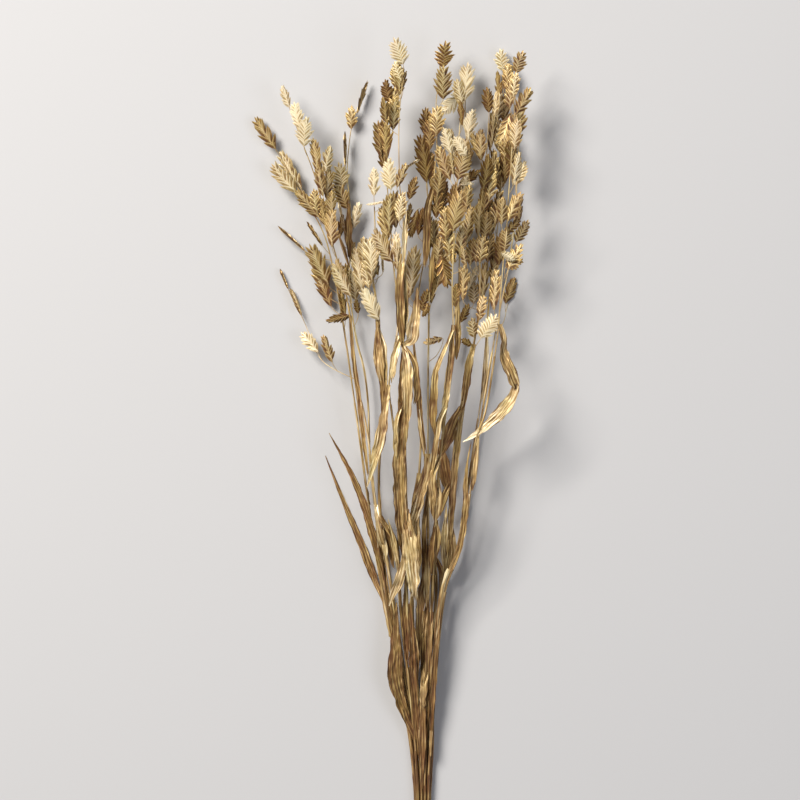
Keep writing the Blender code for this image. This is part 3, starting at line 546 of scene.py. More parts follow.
            ([(98, 452, 6), (100.5, 441, 5), (98, 429, 3), (90, 417, 2), (81, 407.5, 1), (71, 398.5, 0),
              (61, 391, -1), (48, 382.5, -2)], 14, -8, -30, 14, 0.45, (GOLD, CREAM)),
        ],
    },
    "stem_14": {
        "foot": (15.2, 1), "level": 40, "droop": 10,
        "culm": [(17.5, 75), (19, 125), (28.5, 225), (45, 275), (54, 325), (60, 370), (66, 405), (75, 460),
                 (82, 500), (88, 530), (94, 560), (98, 590), (101, 625), (103, 665), (105, 692)],
        "twigs": [[(80, 488, 0), (89, 504, -21), (93, 522, -35)]],
        "spikelets": [
            (105, 692, 107, 720, 13, -12, 0, 0, GOLD),
            (101, 583, 113, 606, 12, 20, -3, -2, GOLD),
            (101, 640, 110, 665, 12, -18, -4, -3, PALE),
            (91, 522, 100, 549, 12, 10, -37.5, -2, BRONZE),
            (97, 655, 97, 686, 12, 15, 2, 0, BRONZE),
        ],
        "more_spikelets": [
            (102, 680, 101, 713, 12, 20, 3, 0, GOLD),
            (91, 558, 108, 567, 13, -18, -3, 0, GOLD),
            (79, 515, 82, 556, 10, -20, -4, 0, GOLD),
            (103, 600, 106, 630, 9, 40, 0, 0, BRONZE),
        ],
        "more_leaves": [
            ([(62, 385, 0), (60, 360, 2), (57, 335, 0)], 6, -10, 20, 22, 0.5, (GOLD, GOLD)),
            ([(18, 114, 3), (16.5, 92, 7), (15.5, 67, 7)], 3.5, -20, -20, 20, 0.5, (PALE, CREAM)),
        ],
    },
}

CUT_END_DEPTH = 0.1        # corners this near the foot's very end are the cut end's


def tables_zero(node):
    """What to take off a place in the tables, whose zero is on the floor at this culm's cut end."""
    corners = [corner.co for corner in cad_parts[node].data.vertices]
    foot = min(corner.y for corner in corners)
    across = [corner.x for corner in corners if corner.y < foot + CUT_END_DEPTH * MM]
    return np.array((-0.5 * (min(across) + max(across)), -foot, 0.0)) / MM


ZERO = tables_zero("stem_01")


def eased(value, start, end):
    """Smooth step from 0 to 1 between two values."""
    share = min(max((value - start) / (end - start), 0.0), 1.0)
    return share * share * (3.0 - 2.0 * share)


def uneven(*place):
    """Smooth random value, within 1 of nothing. Bare numbers in its calls only keep its uses apart."""
    return noise.noise(Vector(place))


def unit(vector):
    return vector / np.linalg.norm(vector)


def stem_height(stem, along):
    """Height of a stem's own layer: packed rows at the foot, fanned out above, drooping at the tip."""
    foot = FOOT_RADIUS * math.cos(math.pi / SOLID_SIDES) + ROW_PITCH * stem["foot"][1]
    droop = stem["droop"] * max(0.0, (along - PANICLE_START) / DROOP_LENGTH) ** 2
    return foot + (stem["level"] - foot) * eased(along, FAN_START, FAN_END) - droop


def lifted(stem, point):
    lift = point[2] if len(point) > 2 else 0.0
    return np.array((point[0], point[1], stem_height(stem, point[1]) + lift))


def smooth_line(points, step):
    """Points along a Catmull-Rom curve through the given ones, no further apart than step."""
    ends = [2 * points[0] - points[1]] + list(points) + [2 * points[-1] - points[-2]]
    line = []
    for before, start, end, after in zip(ends, ends[1:], ends[2:], ends[3:]):
        count = max(1, math.ceil(np.linalg.norm(end - start) / step))
        for index in range(count):
            t = index / count
            line.append(0.5 * (2 * start + (end - before) * t
                               + (2 * before - 5 * start + 4 * end - after) * t ** 2
                               + (3 * start - before - 3 * end + after) * t ** 3))
    return np.array(line + [points[-1]])


def directions(line):
    """At each point of a line: the way ahead, the level way across it, and the way up from it."""
    ahead = np.empty_like(line)
    ahead[1:-1] = line[2:] - line[:-2]
    ahead[0] = line[1] - line[0]
    ahead[-1] = line[-1] - line[-2]
    ahead /= np.linalg.norm(ahead, axis=1)[:, None]
    flat = np.cross(ahead, UP)
    flat /= np.linalg.norm(flat, axis=1)[:, None]
    return ahead, flat, np.cross(flat, ahead)


def travelled(line):
    """Distance along a line at each of its points."""
    steps = np.linalg.norm(np.diff(line, axis=0), axis=1)
    return np.concatenate(([0.0], np.cumsum(steps)))


def nearest(line, place):
    return line[np.argmin(np.linalg.norm(line - place, axis=1))]


class Stock:
    """Corners and faces gathered for one piece, with what the paint needs to know at each corner.

    Grain is the place on the plant's own surface in millimetres, across and along its fibres.
    Cover is how much of the straw the gold hides there; it also carries painted shade in creases, hollows,
    along edges and towards the foot, and painted highlight on ridges. Tone is how pale the gold is on that
    spikelet or blade, a painted highlight or shade.
    """

    def __init__(self):
        self.corners, self.faces, self.grain, self.cover, self.tone = [], [], [], [], []
        self.count = 0

    def add(self, corners, faces, grain, cover, tone):
        count = len(corners)
        self.corners.append(corners)
        self.faces += [tuple(self.count + corner for corner in face) for face in faces]
        self.grain.append(grain)
        self.cover.append(np.broadcast_to(cover, count))
        self.tone.append(np.broadcast_to(tone, count))
        self.count += count

    def piece(self, name, material, crease):
        mesh = bpy.data.meshes.new(name)
        places = np.concatenate(self.corners)
        places[:, 2] = np.maximum(places[:, 2], 0.0)   # nothing reaches into the floor
        mesh.from_pydata((places - ZERO) * MM, [], self.faces)
        work = bmesh.new()
        work.from_mesh(mesh)
        bmesh.ops.recalc_face_normals(work, faces=work.faces)
        work.to_mesh(mesh)
        work.free()
        # Painted shade: cover and tone dim towards the cut ends.
        painted_falloff = np.array([DIMMEST_AT_FOOT + (1.0 - DIMMEST_AT_FOOT) * eased(along, 0.0, PAINTED_DIMMING_ENDS)
                            for along in places[:, 1]])
        for label, values in (("cover", self.cover), ("tone", self.tone)):
            layer = mesh.attributes.new(label, "FLOAT", "POINT")
            layer.data.foreach_set("value", (np.concatenate(values) * painted_falloff).astype(np.float32))
        loops = np.empty(len(mesh.loops), np.int32)
        mesh.loops.foreach_get("vertex_index", loops)
        grain = mesh.uv_layers.new(name="grain")
        grain.data.foreach_set("uv", np.concatenate(self.grain)[loops].astype(np.float32).ravel())
        mesh.materials.append(material)
        mesh.shade_smooth()
        mesh.set_sharp_from_angle(angle=math.radians(crease))
        piece = bpy.data.objects.new(name, mesh)
        bpy.context.scene.collection.objects.link(piece)
        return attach(piece, "root")


def ring_faces(rings, sides):
    """Side faces and two end caps of a tube whose corners are listed ring by ring."""
    faces = [tuple(range(sides)), tuple((rings - 1) * sides + side for side in range(sides))]
    for ring in range(rings - 1):
        for side in range(sides):
            after = (side + 1) % sides
            low, high = ring * sides, (ring + 1) * sides
            faces.append((low + side, low + after, high + after, high + side))
    return faces


def add_tube(stock, line, radii, sides, cover, tone):
    _, flat, upright = directions(line)
    angles = np.linspace(0.0, math.tau, sides, endpoint=False)
    radii = np.broadcast_to(radii, len(line))[:, None, None]
    ways = flat[:, None] * np.cos(angles)[None, :, None] + upright[:, None] * np.sin(angles)[None, :, None]
    corners = (line[:, None] + radii * ways).reshape(-1, 3)
    across = np.tile(angles * radii.mean(), len(line))
    along = np.repeat(travelled(line), sides)
    cover = np.repeat(np.broadcast_to(cover, len(line)), sides)
    stock.add(corners, ring_faces(len(line), sides), np.stack((across, along), 1), cover, tone)


def add_skin(stock, outer, inner, across, along, cover, tone):
    """A closed thin skin from two grids of corners, station by station."""
    stations, width = outer.shape[:2]
    size = stations * width
    grid = np.arange(size).reshape(stations, width)
    faces = []
    for shift in (0, size):
        for low, high in zip(grid[:-1] + shift, grid[1:] + shift):
            faces += [(a, b, c, d) for a, b, c, d in zip(low[:-1], low[1:], high[1:], high[:-1])]
    rim = list(grid[0]) + list(grid[1:, -1]) + list(grid[-1, -2::-1]) + list(grid[-2:0:-1, 0])
    faces += [(a, b, b + size, a + size) for a, b in zip(rim, rim[1:] + rim[:1])]
    faces = [tuple(int(corner) for corner in face) for face in faces]
    corners = np.concatenate((outer.reshape(-1, 3), inner.reshape(-1, 3)))
    grain = np.stack((across.ravel(), along.ravel()), 1)
    tone = np.broadcast_to(tone, cover.shape)
    stock.add(corners, faces, np.concatenate((grain, grain)), np.tile(cover.ravel(), 2),
              np.tile(tone.ravel(), 2))


# The culms: straw, a little swollen at its nodes, where less of the spray took.
CULM_SLIMMER = 0.86        # what it has dried to, as a share of the solid's radius: at the foot, in the head
TIP_SLIMMER = 0.62
CULM_RING = 8              # corners round a culm, and round a twig, a pedicel or the axis of a spikelet
THIN_RING = 6
STRAW_COVER = 0.8
FIRST_NODE = (26.0, 70.0)
NODE_SPACING = (95.0, 140.0)
LAST_NODE = 470.0
NODE_HALF_LENGTH = 2.2
NODE_SWELL = 0.28          # share of the radius that a node adds, and of the spray that it lacks
NODE_BARE = 0.75
PEDICEL_RADIUS = 0.3
PEDICEL_POINTS = 9
PEDICEL_DROP = 8.0         # how far below its spikelet a pedicel leaves the stem, at least
PEDICEL_BEND = 0.3         # share of its length over which it turns into the spikelet
PEDICEL_SUNK = 0.6         # how far it runs into the spikelet
CULM_SHORTER = 0.75        # what a culm leaves to its end spikelet's pedicel, as a share of that drop
TWIG_STEP = 4.0
TWIG_RADII = (1.4, 1.0)    # from foot to tip, in radii of a pedicel


def culm_line(stem):
    across, _ = stem["foot"]
    points = [lifted(stem, (across, 0.0)), lifted(stem, (across, FAN_START))]
    points += [lifted(stem, point) for point in stem["culm"]]
    line = smooth_line(points, CULM_STEP)
    kept = travelled(line) <= travelled(line)[-1] - CULM_SHORTER * PEDICEL_DROP
    return line[kept]


def culm_radius(along):
    slimmer = np.interp(along, (0.0, PANICLE_START), (CULM_SLIMMER, TIP_SLIMMER))
    if along < PANICLE_START:
        share = eased(along, FAN_START, PANICLE_START)
        return slimmer * (FOOT_RADIUS + (PANICLE_RADIUS - FOOT_RADIUS) * share)
    share = min(1.0, (along - PANICLE_START) / DROOP_LENGTH)
    return slimmer * (PANICLE_RADIUS + (TIP_RADIUS - PANICLE_RADIUS) * share)


def place_nodes(draw):
    """Where along a culm its nodes stand, from the foot up."""
    nodes = [draw.uniform(*FIRST_NODE)]
    while nodes[-1] < LAST_NODE:
        nodes.append(nodes[-1] + draw.uniform(*NODE_SPACING))
    return nodes


def add_culm(stock, line, nodes, draw):
    radii = np.array([culm_radius(along) for along in line[:, 1]])
    cover = np.full(len(line), STRAW_COVER)
    for along in nodes:
        near = np.exp(-((line[:, 1] - along) / NODE_HALF_LENGTH) ** 2)
        radii *= 1.0 + NODE_SWELL * near
        cover *= 1.0 - NODE_BARE * near
    add_tube(stock, line, radii, CULM_RING, cover, draw.uniform(GOLD, PALE))


def add_twig(stock, stem, line, points):
    """A side branch, from the nearest point of its culm."""
    path = [lifted(stem, point) for point in points]
    twig = smooth_line([nearest(line, path[0])] + path[1:], TWIG_STEP)
    radii = np.linspace(*TWIG_RADII, len(twig)) * PEDICEL_RADIUS
    add_tube(stock, twig, radii, THIN_RING, STRAW_COVER, PALE)
    return twig


def pedicel_line(lines, base, forward):
    """From the nearest point of the stem below a spikelet's base, bending into the spikelet."""
    below = np.concatenate([line[line[:, 1] < base[1] - PEDICEL_DROP] for line in lines])
    joint = nearest(below, base)
    bend = base - forward * (PEDICEL_BEND * np.linalg.norm(base - joint))
    end = base + forward * PEDICEL_SUNK
    shares = np.linspace(0.0, 1.0, PEDICEL_POINTS)[:, None]
    return joint * (1 - shares) ** 2 + bend * 2 * shares * (1 - shares) + end * shares ** 2


# The sheaths: the foot of each leaf, wrapped round the culm from a node upwards, with one edge free.
SHEATH_THICKNESS = 0.25
SHEATH_SPAN = 292.0        # degrees of the culm that a sheath wraps
SHEATH_POINTS = 11         # corners across one
SHEATH_LENGTH = (0.72, 0.96)   # as a share of the way from its node to the next
FEWEST_STATIONS = 4        # one that would be shorter is left out
SPLIT_SHIFT = 25.0         # degrees either way
SPLIT_WANDER = 50.0        # degrees that the split turns round the culm on its way up, either way
# The sheaths are tight at the foot of the bunch, where they are packed, and come loose above it.
LOOSENING = (60.0, 180.0)
TIGHTENING = (260.0, 420.0)
TIGHTENED = 0.7            # share of the looseness that the upper ones lack
TIGHT_ROOM = 0.05          # how far a tight one's face stands off the culm, and what a loose one adds
LOOSE_ROOM = 0.35
MOUTH_FLARE = 1.1          # what its upper end adds, as a share of that
MOUTH_SHORT = 3            # the higher, the shorter that end
FREE_EDGE = 1.1            # how far a loose one's free edge stands off
FREE_EDGE_NARROW = 4       # the higher, the narrower that edge
EDGE_LEVEL = 0.4           # share of its stand-off where it isn't puckered
PUCKER_DEPTH = 0.8         # as a share of the stand-off
PUCKERS_ROUND = 1.3        # in a radian round the culm
PUCKERS_ALONG = 0.07       # in a millimetre along it
SHEATH_COVER = 0.72
PUCKER_PAINTED_SHADE = 0.5         # painted highlight on raised puckers and painted shade in their hollows, and how much paler a sheath's upper end is
MOUTH_COVER = 0.12


def looseness(along):
    return eased(along, *LOOSENING) * (1.0 - TIGHTENED * eased(along, *TIGHTENING))


def add_sheath(stock, line, start, end, draw):
    part = line[(line[:, 1] >= start) & (line[:, 1] <= end)]
    if len(part) < FEWEST_STATIONS:
        return
    _, flat, upright = directions(part)
    share = np.linspace(0.0, 1.0, len(part))[:, None]
    wrapped = np.linspace(0.0, 1.0, SHEATH_POINTS)[None, :]
    turn = math.radians(draw.uniform(0.0, 360.0) + draw.uniform(-SPLIT_SHIFT, SPLIT_SHIFT))
    wander = math.radians(draw.uniform(-SPLIT_WANDER, SPLIT_WANDER))
    angles = turn + math.radians(SHEATH_SPAN) * wrapped + wander * share
    radii = np.array([culm_radius(along) for along in part[:, 1]])[:, None]
    loose = np.array([looseness(along) for along in part[:, 1]])[:, None]
    room = TIGHT_ROOM + LOOSE_ROOM * loose
    lip = wrapped ** FREE_EDGE_NARROW * FREE_EDGE * loose
    puckers = np.array([[uneven(angle * PUCKERS_ROUND, place[1] * PUCKERS_ALONG, place[0]) for angle in row]
                        for row, place in zip(angles, part)])
    gap = room * (1.0 + PUCKER_DEPTH * puckers + MOUTH_FLARE * share ** MOUTH_SHORT)
    gap += lip * (EDGE_LEVEL + puckers)
    ways = flat[:, None] * np.cos(angles)[..., None] + upright[:, None] * np.sin(angles)[..., None]
    skin = part[:, None] + ways * (radii + gap)[..., None]
    lining = part[:, None] + ways * (radii + gap - SHEATH_THICKNESS)[..., None]
    along = np.repeat(travelled(part)[:, None], SHEATH_POINTS, 1)
    # Painted highlight on raised puckers, painted shade in their hollows.
    cover = np.clip(SHEATH_COVER + PUCKER_PAINTED_SHADE * puckers + MOUTH_COVER * share, 0.0, 1.0)
    add_skin(stock, skin, lining, angles * radii, along, cover, draw.uniform(BRONZE, PALE))


# The blades: dry, folded along the midrib, twisted and crumpled, with pleats along the fibres and waved
# edges. How they end: width of the foot and of the tip, as shares of the fullest width, how late they taper,
# and how far the torn fibres of the end stand out, as a share of the width.
Ends = namedtuple("Ends", "foot tip taper tear")
WHOLE = Ends(0.35, 0.06, 1.25, 0.0)
TORN = Ends(0.6, 0.35, 3.0, 1.2)
TEAR_PITCH = 2.2
TEAR_LENGTH = 0.2          # share of the blade over which its torn fibres part
BLADE_THICKNESS = 0.3
BLADE_STEP = 1.7
BLADE_POINTS = 25
BLADE_ROUNDING = 1.25      # of its fold: 1 is a sharp one, 2 a round trough
HELD_STRAIGHT = 0.1        # share of the blade over which it starts to crumple, past the culm that held it
CRUMPLE = 0.13             # depth of the creases, as a share of the blade's width
CRUMPLE_ACROSS = 3.8       # their pitch across the blade and along it
CRUMPLE_ALONG = 9.0
KINK = 20.0                # degrees that the blade turns at its folds
KINK_PITCH = 15.0
PLEAT_DEPTH = 0.17
PLEAT_PITCH = 2.1          # twice the pitch of a real blade's ribs, so that they show from here
PLEAT_DRIFT = 3.0          # pitches that they wander sideways
PLEAT_DRIFT_PITCH = 40.0
EDGE_WAVE = 0.1            # as a share of the width
EDGE_WAVE_PITCH = 9.0
BLADE_COVER = 0.4
COAT_COVER = 0.75          # how much more of the gold shows with a full tone, and the painted highlight on the top of a crease and of a pleat, with painted shade in their hollows
CREASE_PAINTED_SHADE = 0.65
PLEAT_PAINTED_SHADE = 0.2
EDGE_PAINTED_SHADE = 0.5            # painted shade along the edges, as a share of the cover
EDGE_SHADE_NARROW = 5       # the higher, the nearer the edge
BLADE_UNEVEN = (-0.1, 0.04)   # how much more spray a blade has than its row in the tables says
NOISE_SPAN = 500.0         # blades read the noise from places within this, so that no two are alike
# Crumpled paper: how high its sharp ridges and its soft swells stand, how steep the ridges are, how much
# longer the swells are, and what is taken off so that both lie about evenly to either side.
RIDGES = 0.55
SWELLS = 0.9
RIDGE_STEEPNESS = 2.2
SWELL_SCALE = 0.45
CREASE_MEAN = 0.25


def blade_outline(share, fullest, ends):
    """Half width along a blade, as a share of the greatest."""
    rising = ends.foot + (1.0 - ends.foot) * eased(share, 0.0, fullest)
    fallen = max(0.0, (share - fullest) / (1.0 - fullest)) ** ends.taper
    return min(rising, 1.0 - (1.0 - ends.tip) * fallen)


def creased(*place):
    spot = Vector(place)
    ridges = RIDGES * (1.0 - RIDGE_STEEPNESS * abs(noise.noise(spot)))
    return ridges + SWELLS * noise.noise(spot * SWELL_SCALE) - CREASE_MEAN


def add_blade(stock, ends, points, width, foot_turn, tip_turn, fold, fullest, tones, draw):
    line = smooth_line(points, BLADE_STEP)
    ahead, flat, upright = directions(line)
    reach = travelled(line)
    share = reach / reach[-1]
    seed = draw.uniform(0.0, NOISE_SPAN)
    across = np.linspace(-1.0, 1.0, BLADE_POINTS)

    outline = np.array([blade_outline(value, fullest, ends) for value in share])[:, None]
    half = 0.5 * width * outline
    waves = np.array([[uneven(seed + apart, value / EDGE_WAVE_PITCH, 0.0) for apart in (7.0, 0.0)]
                      for value in reach])
    edge = np.where(across[None, :] < 0.0, waves[:, :1], waves[:, 1:])
    place = half * across[None, :] * (1.0 + 2.0 * EDGE_WAVE * edge)

    # Mostly straight, with a sharp turn here and there.
    kinks = np.array([2.0 * abs(uneven(seed, 5.0, value / KINK_PITCH)) - 0.5 for value in reach])
    freed = np.minimum(1.0, share / HELD_STRAIGHT)
    turn = np.radians(foot_turn + (tip_turn - foot_turn) * share + KINK * kinks * freed)[:, None]
    wing = flat * np.cos(turn) + upright * np.sin(turn)
    normal = np.cross(wing, ahead)
    rise = math.tan(math.radians(fold)) * half * (np.abs(across) ** BLADE_ROUNDING)[None, :]
    crease = np.array([[creased(aside / CRUMPLE_ACROSS, value / CRUMPLE_ALONG, seed) for aside in row]
                       for row, value in zip(place, reach)])
    drift = np.array([uneven(seed, value / PLEAT_DRIFT_PITCH, 9.0) for value in reach])[:, None]
    pleat = np.cos((place / PLEAT_PITCH + PLEAT_DRIFT * drift) * math.tau)
    rise += (CRUMPLE * width * crease + PLEAT_DEPTH * pleat * outline) * freed[:, None]
    middle = line[:, None] + wing[:, None] * place[..., None] + normal[:, None] * rise[..., None]

    torn = np.array([uneven(aside / TEAR_PITCH, seed, 3.0) for aside in half.max() * across])[None, :]
    parted = np.maximum(0.0, (share - (1.0 - TEAR_LENGTH)) / TEAR_LENGTH)[:, None]
    middle += ahead[:, None] * (ends.tear * width * parted * torn)[..., None]
    middle[..., 2] = np.maximum(middle[..., 2], BLADE_THICKNESS)

    tone = tones[0] + (tones[1] - tones[0]) * share[:, None] + draw.uniform(*BLADE_UNEVEN)
    # Painted shade darkens the edges.
    edge_shade = EDGE_PAINTED_SHADE * (np.abs(across) ** EDGE_SHADE_NARROW)[None, :]
    # Painted highlight on the tops of creases and pleats, painted shade in their hollows.
    painted_relief_shade = CREASE_PAINTED_SHADE * crease + PLEAT_PAINTED_SHADE * pleat
    cover = np.clip(BLADE_COVER + COAT_COVER * tone + painted_relief_shade - edge_shade, 0.0, 1.0)
    along = np.repeat(reach[:, None], BLADE_POINTS, 1)
    half_skin = normal[:, None] * 0.5 * BLADE_THICKNESS
    add_skin(stock, middle + half_skin, middle - half_skin, place, along, cover, tone)


# The spikelets: two ranks of keeled florets, each folded over the foot of the next like shingles.
PLUMPER = 1.1              # the open chaff makes a spikelet this much wider than its solid
WIDEST = 0.42              # share of the spikelet's length where the florets' tips reach its full width
SHOULDER = 0.6             # where they start to draw in again
DRAWN_IN = 0.66            # share of the width that is gone at the end
DRAWN_IN_LATE = 1.6
SPIKELET_BEND = 0.05       # share of its length, either way
SPRAY_UNEVEN = 0.06        # how far a spikelet's spray is from what its row says, and a floret's from that
FLORET_SPRAY_UNEVEN = 0.1
RACHIS_RADIUS = 0.7        # the axis of a spikelet
RACHIS_TAPER = 0.4
RACHIS_REACH = 0.85        # share of the spikelet's length
RACHIS_POINTS = 9
RACHIS_COVER = 0.4
FLORET_PITCH = 2.8         # along the spikelet, between florets of one rank
FEWEST_FLORETS = 5
FIRST_FLORET = 0.02        # where the first and the last one stand, as shares of the spikelet's length
FLORETS_UP_TO = 0.67
FLORET_REACH = 0.49        # length of a floret low on the spikelet, as a share of the spikelet's
LOWEST_REACH = 0.62        # share of that which the lowest has, and how fast the next ones gain the rest
REACH_GAIN = 2.0
REACH_LOSS = 0.48          # share of it that those near the end lack
FLORET_TIP = 0.92          # the point along a floret that its splay brings to the spikelet's outline
STEEPEST = 0.85            # sine of the greatest angle between a floret and the axis
FLORET_SPLAY = 8.0         # degrees either way
FLORET_TILT = 0.04         # out of the spikelet's plane, as a share of the floret's length, either way
FLORET_UNEVEN = 0.1        # in length
FLORET_SUNK = 0.3          # how far its foot lies past the middle of the axis
FLORET_BOW = -0.35         # how far its middle bends in towards the axis
FLORET_HALF_WIDTH = 1.75
FLORET_HALF_DEPTH = 1.35
USUAL_LENGTH = 30.0        # of a spikelet whose florets have that width and depth
SIZE_WITH_LENGTH = 0.22    # share of them that goes up and down with the spikelet's length
GLUME = -1                 # the bract below the first floret of a rank
GLUME_REACH = 0.24
GLUME_SIZE = 0.7
END_FLORET = 0.68          # where the one at the spikelet's end starts
END_FLORET_SIZE = 0.8
# Outline of a floret: a broad foot, full from early on, and drawn in late to a blunt point.
FLORET_FOOT = 0.3
FLORET_FULL = 0.3
FLORET_FULLNESS = 0.8
FLORET_LATE = 3.8
FLORET_BLUNTNESS = 0.9
FLORET_POINT = 0.03
FLORET_THINNING = 0.35     # share of its depth that is gone at the tip
FLORET_STATIONS = np.linspace(0.0, 1.0, 8)
# Section of a floret from its keel, over its face to the free margin that lies on the next floret, and back.
# The keel, which the floret below hides, and the fold under the margin get a painted shade: little cover and
# a darker tone. The free margin gets a painted highlight, a paler tone.
FLORET_ACROSS = np.array((1.0, -0.08, -0.28, -0.9, -1.0, -1.0, -0.9, -0.28, -0.08))
FLORET_OUT = np.array((0.0, 0.52, 0.74, 1.0, 0.4, -0.4, -1.0, -0.74, -0.52))
FLORET_COVER = np.array((0.0, 0.22, 0.75, 1.0, 0.05, 0.05, 1.0, 0.75, 0.22))
FLORET_TONE = np.array((-0.1, -0.24, -0.14, 0.32, 0.0, 0.0, 0.32, -0.14, -0.24))
SHADE = (0.5, 0.8)         # shares of a floret's length between which the shade ends
PALE_TONE_REACH = 0.55         # how far into the painted shade a pale tone reaches
TIP_EVENNESS = 0.6         # share of those tones that is gone past the shade


def half_width(share):
    """Outline of a spikelet: a narrow pointed foot, broad shoulders and a blunt, feathery end."""
    past = max(0.0, (share - SHOULDER) / (1.0 - SHOULDER))
    return eased(share, 0.0, WIDEST) * (1.0 - DRAWN_IN * past ** DRAWN_IN_LATE)


def floret_reach(start):
    """Length of the floret that stands there, both as shares of the spikelet's length."""
    return FLORET_REACH * min(1.0, LOWEST_REACH + REACH_GAIN * start) * (1.0 - REACH_LOSS * start)


def floret_outline(share):
    rising = np.minimum(1.0, (share / FLORET_FULL + FLORET_FOOT) ** FLORET_FULLNESS)
    return rising * (1.0 - share ** FLORET_LATE) ** FLORET_BLUNTNESS + FLORET_POINT


def add_floret(stock, foot, along_way, outward, face_way, length, size, bow, tone):
    share = FLORET_STATIONS[:, None]
    outline = floret_outline(share)
    aside = FLORET_ACROSS * FLORET_HALF_WIDTH * size * outline + bow * share * (1.0 - share) * 4.0
    out = FLORET_OUT * FLORET_HALF_DEPTH * size * outline * (1.0 - FLORET_THINNING * share)
    corners = (foot + along_way * (share * length)[..., None] + outward * aside[..., None]
               + face_way * out[..., None]).reshape(-1, 3)
    open_end = np.array([eased(value, *SHADE) for value in FLORET_STATIONS])[:, None]
    # Pale spikelets get a shallower painted shade.
    pale_reach = PALE_TONE_REACH * eased(tone, GOLD, CREAM)
    cover = FLORET_COVER + (1.0 - FLORET_COVER) * np.maximum(open_end, pale_reach)
    grain = np.stack((np.broadcast_to(FLORET_ACROSS * FLORET_HALF_WIDTH, aside.shape).ravel(),
                      np.broadcast_to(share * length, aside.shape).ravel()), 1)
    faces = ring_faces(len(FLORET_STATIONS), len(FLORET_ACROSS))
    # Painted highlight on the margin ridge and painted shade in the hollows, in the tone.
    tone = tone + FLORET_TONE * (1.0 - TIP_EVENNESS * open_end)
    stock.add(corners, faces, grain, cover.ravel(), tone.ravel())


def add_spikelet(stock, base, tip, width, turn, tone, draw):
    length = np.linalg.norm(tip - base)
    forward = unit(tip - base)
    level = unit(np.cross(UP, forward))
    turn = math.radians(turn)
    side_way = level * math.cos(turn) + np.cross(forward, level) * math.sin(turn)
    face_way = np.cross(forward, side_way)
    count = max(FEWEST_FLORETS, round(FLORETS_UP_TO * length / FLORET_PITCH))
    stoutness = 1.0 - SIZE_WITH_LENGTH + SIZE_WITH_LENGTH * length / USUAL_LENGTH
    bend = draw.uniform(-SPIKELET_BEND, SPIKELET_BEND) * length

    def axis(share):
        return base + forward * (length * share) + side_way * (bend * 4.0 * share * (1.0 - share))

    rachis = np.array([axis(share) for share in np.linspace(0.0, RACHIS_REACH, RACHIS_POINTS)])
    radii = np.linspace(RACHIS_RADIUS, RACHIS_TAPER * RACHIS_RADIUS, RACHIS_POINTS)
    add_tube(stock, rachis, radii, THIN_RING, RACHIS_COVER, tone)
    for side, later in ((side_way, 0.0), (-side_way, 0.5)):   # the ranks stand half a pitch apart
        for index in range(GLUME, count):
            if index == GLUME:
                start, reach, size = 0.0, GLUME_REACH * length, GLUME_SIZE * stoutness
            else:
                start = FIRST_FLORET + (index + later) * FLORETS_UP_TO / count
                reach, size = floret_reach(start) * length, stoutness
            aside = 0.5 * width * half_width(start + FLORET_TIP * reach / length)
            splay = math.radians(draw.uniform(-FLORET_SPLAY, FLORET_SPLAY))
            angle = math.asin(min(STEEPEST, aside / reach)) + splay
            along_way = forward * math.cos(angle) + side * math.sin(angle)
            outward = side * math.cos(angle) - forward * math.sin(angle)
            tilted = unit(along_way + face_way * draw.uniform(-FLORET_TILT, FLORET_TILT))
            reach *= draw.uniform(1.0 - FLORET_UNEVEN, 1.0 + FLORET_UNEVEN)
            spray = tone + draw.uniform(-FLORET_SPRAY_UNEVEN, FLORET_SPRAY_UNEVEN)
            add_floret(stock, axis(start) - outward * FLORET_SUNK, tilted, outward, face_way,
                       reach, size, FLORET_BOW, spray)
    add_floret(stock, axis(END_FLORET), forward, side_way, face_way,
               (1.0 - END_FLORET) * length, END_FLORET_SIZE, 0.0, tone)


def hang_spikelet(straw, heads, stem, lines, row, draw):
    """A spikelet of the tables, no lower than the floor lets it lie, and its pedicel."""
    x0, y0, x1, y1, width, turn, lift, rise, tone = row
    base = lifted(stem, (x0, y0, lift))
    tip = np.array((x1, y1, base[2] + rise))
    lowest = 0.5 * width * abs(math.sin(math.radians(turn))) + FLORET_HALF_DEPTH
    base[2] = max(base[2], lowest)
    tip[2] = max(tip[2], lowest)
    tone += draw.uniform(-SPRAY_UNEVEN, SPRAY_UNEVEN)
    add_spikelet(heads, base, tip, PLUMPER * width, turn, tone, draw)
    pedicel = pedicel_line(lines, base, unit(tip - base))
    add_tube(straw, pedicel, PEDICEL_RADIUS, THIN_RING, STRAW_COVER, PALE)


# Degrees between two faces past which the edge between them is drawn sharp.
STRAW_CREASE = 50.0
CHAFF_CREASE = 42.0
BLADE_CREASE = 40.0


def make_stem(name, stem, materials):
    draw = random.Random(name)
    straw, blades, heads = Stock(), Stock(), Stock()
    line = culm_line(stem)
    nodes = place_nodes(draw)
    add_culm(straw, line, nodes, draw)
    for start, end in zip(nodes, nodes[1:]):
        add_sheath(blades, line, start, start + (end - start) * draw.uniform(*SHEATH_LENGTH), draw)
    lines = [line] + [add_twig(straw, stem, line, points) for points in stem.get("twigs", [])]
    for row in stem["spikelets"] + stem.get("more_spikelets", []):
        hang_spikelet(straw, heads, stem, lines, row, draw)
    for ends, kind in ((WHOLE, "leaves"), (TORN, "more_leaves"), (WHOLE, "folded_ends")):
        for points, *form in stem.get(kind, []):
            path = [lifted(stem, point) for point in points]
            if kind != "folded_ends":   # the others grow from the culm
                path[0] = nearest(line, path[0])
            for point in path:
                point[2] = max(point[2], 0.5 * BLADE_THICKNESS)
            add_blade(blades, ends, path, *form, draw)
    pieces = [straw.piece(name + "_straw", materials["straw"], STRAW_CREASE),
              heads.piece(name + "_spikelets", materials["chaff"], CHAFF_CREASE),
              blades.piece(name + "_blades", materials["blade"], BLADE_CREASE)]
    for piece in pieces:
        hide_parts(name)


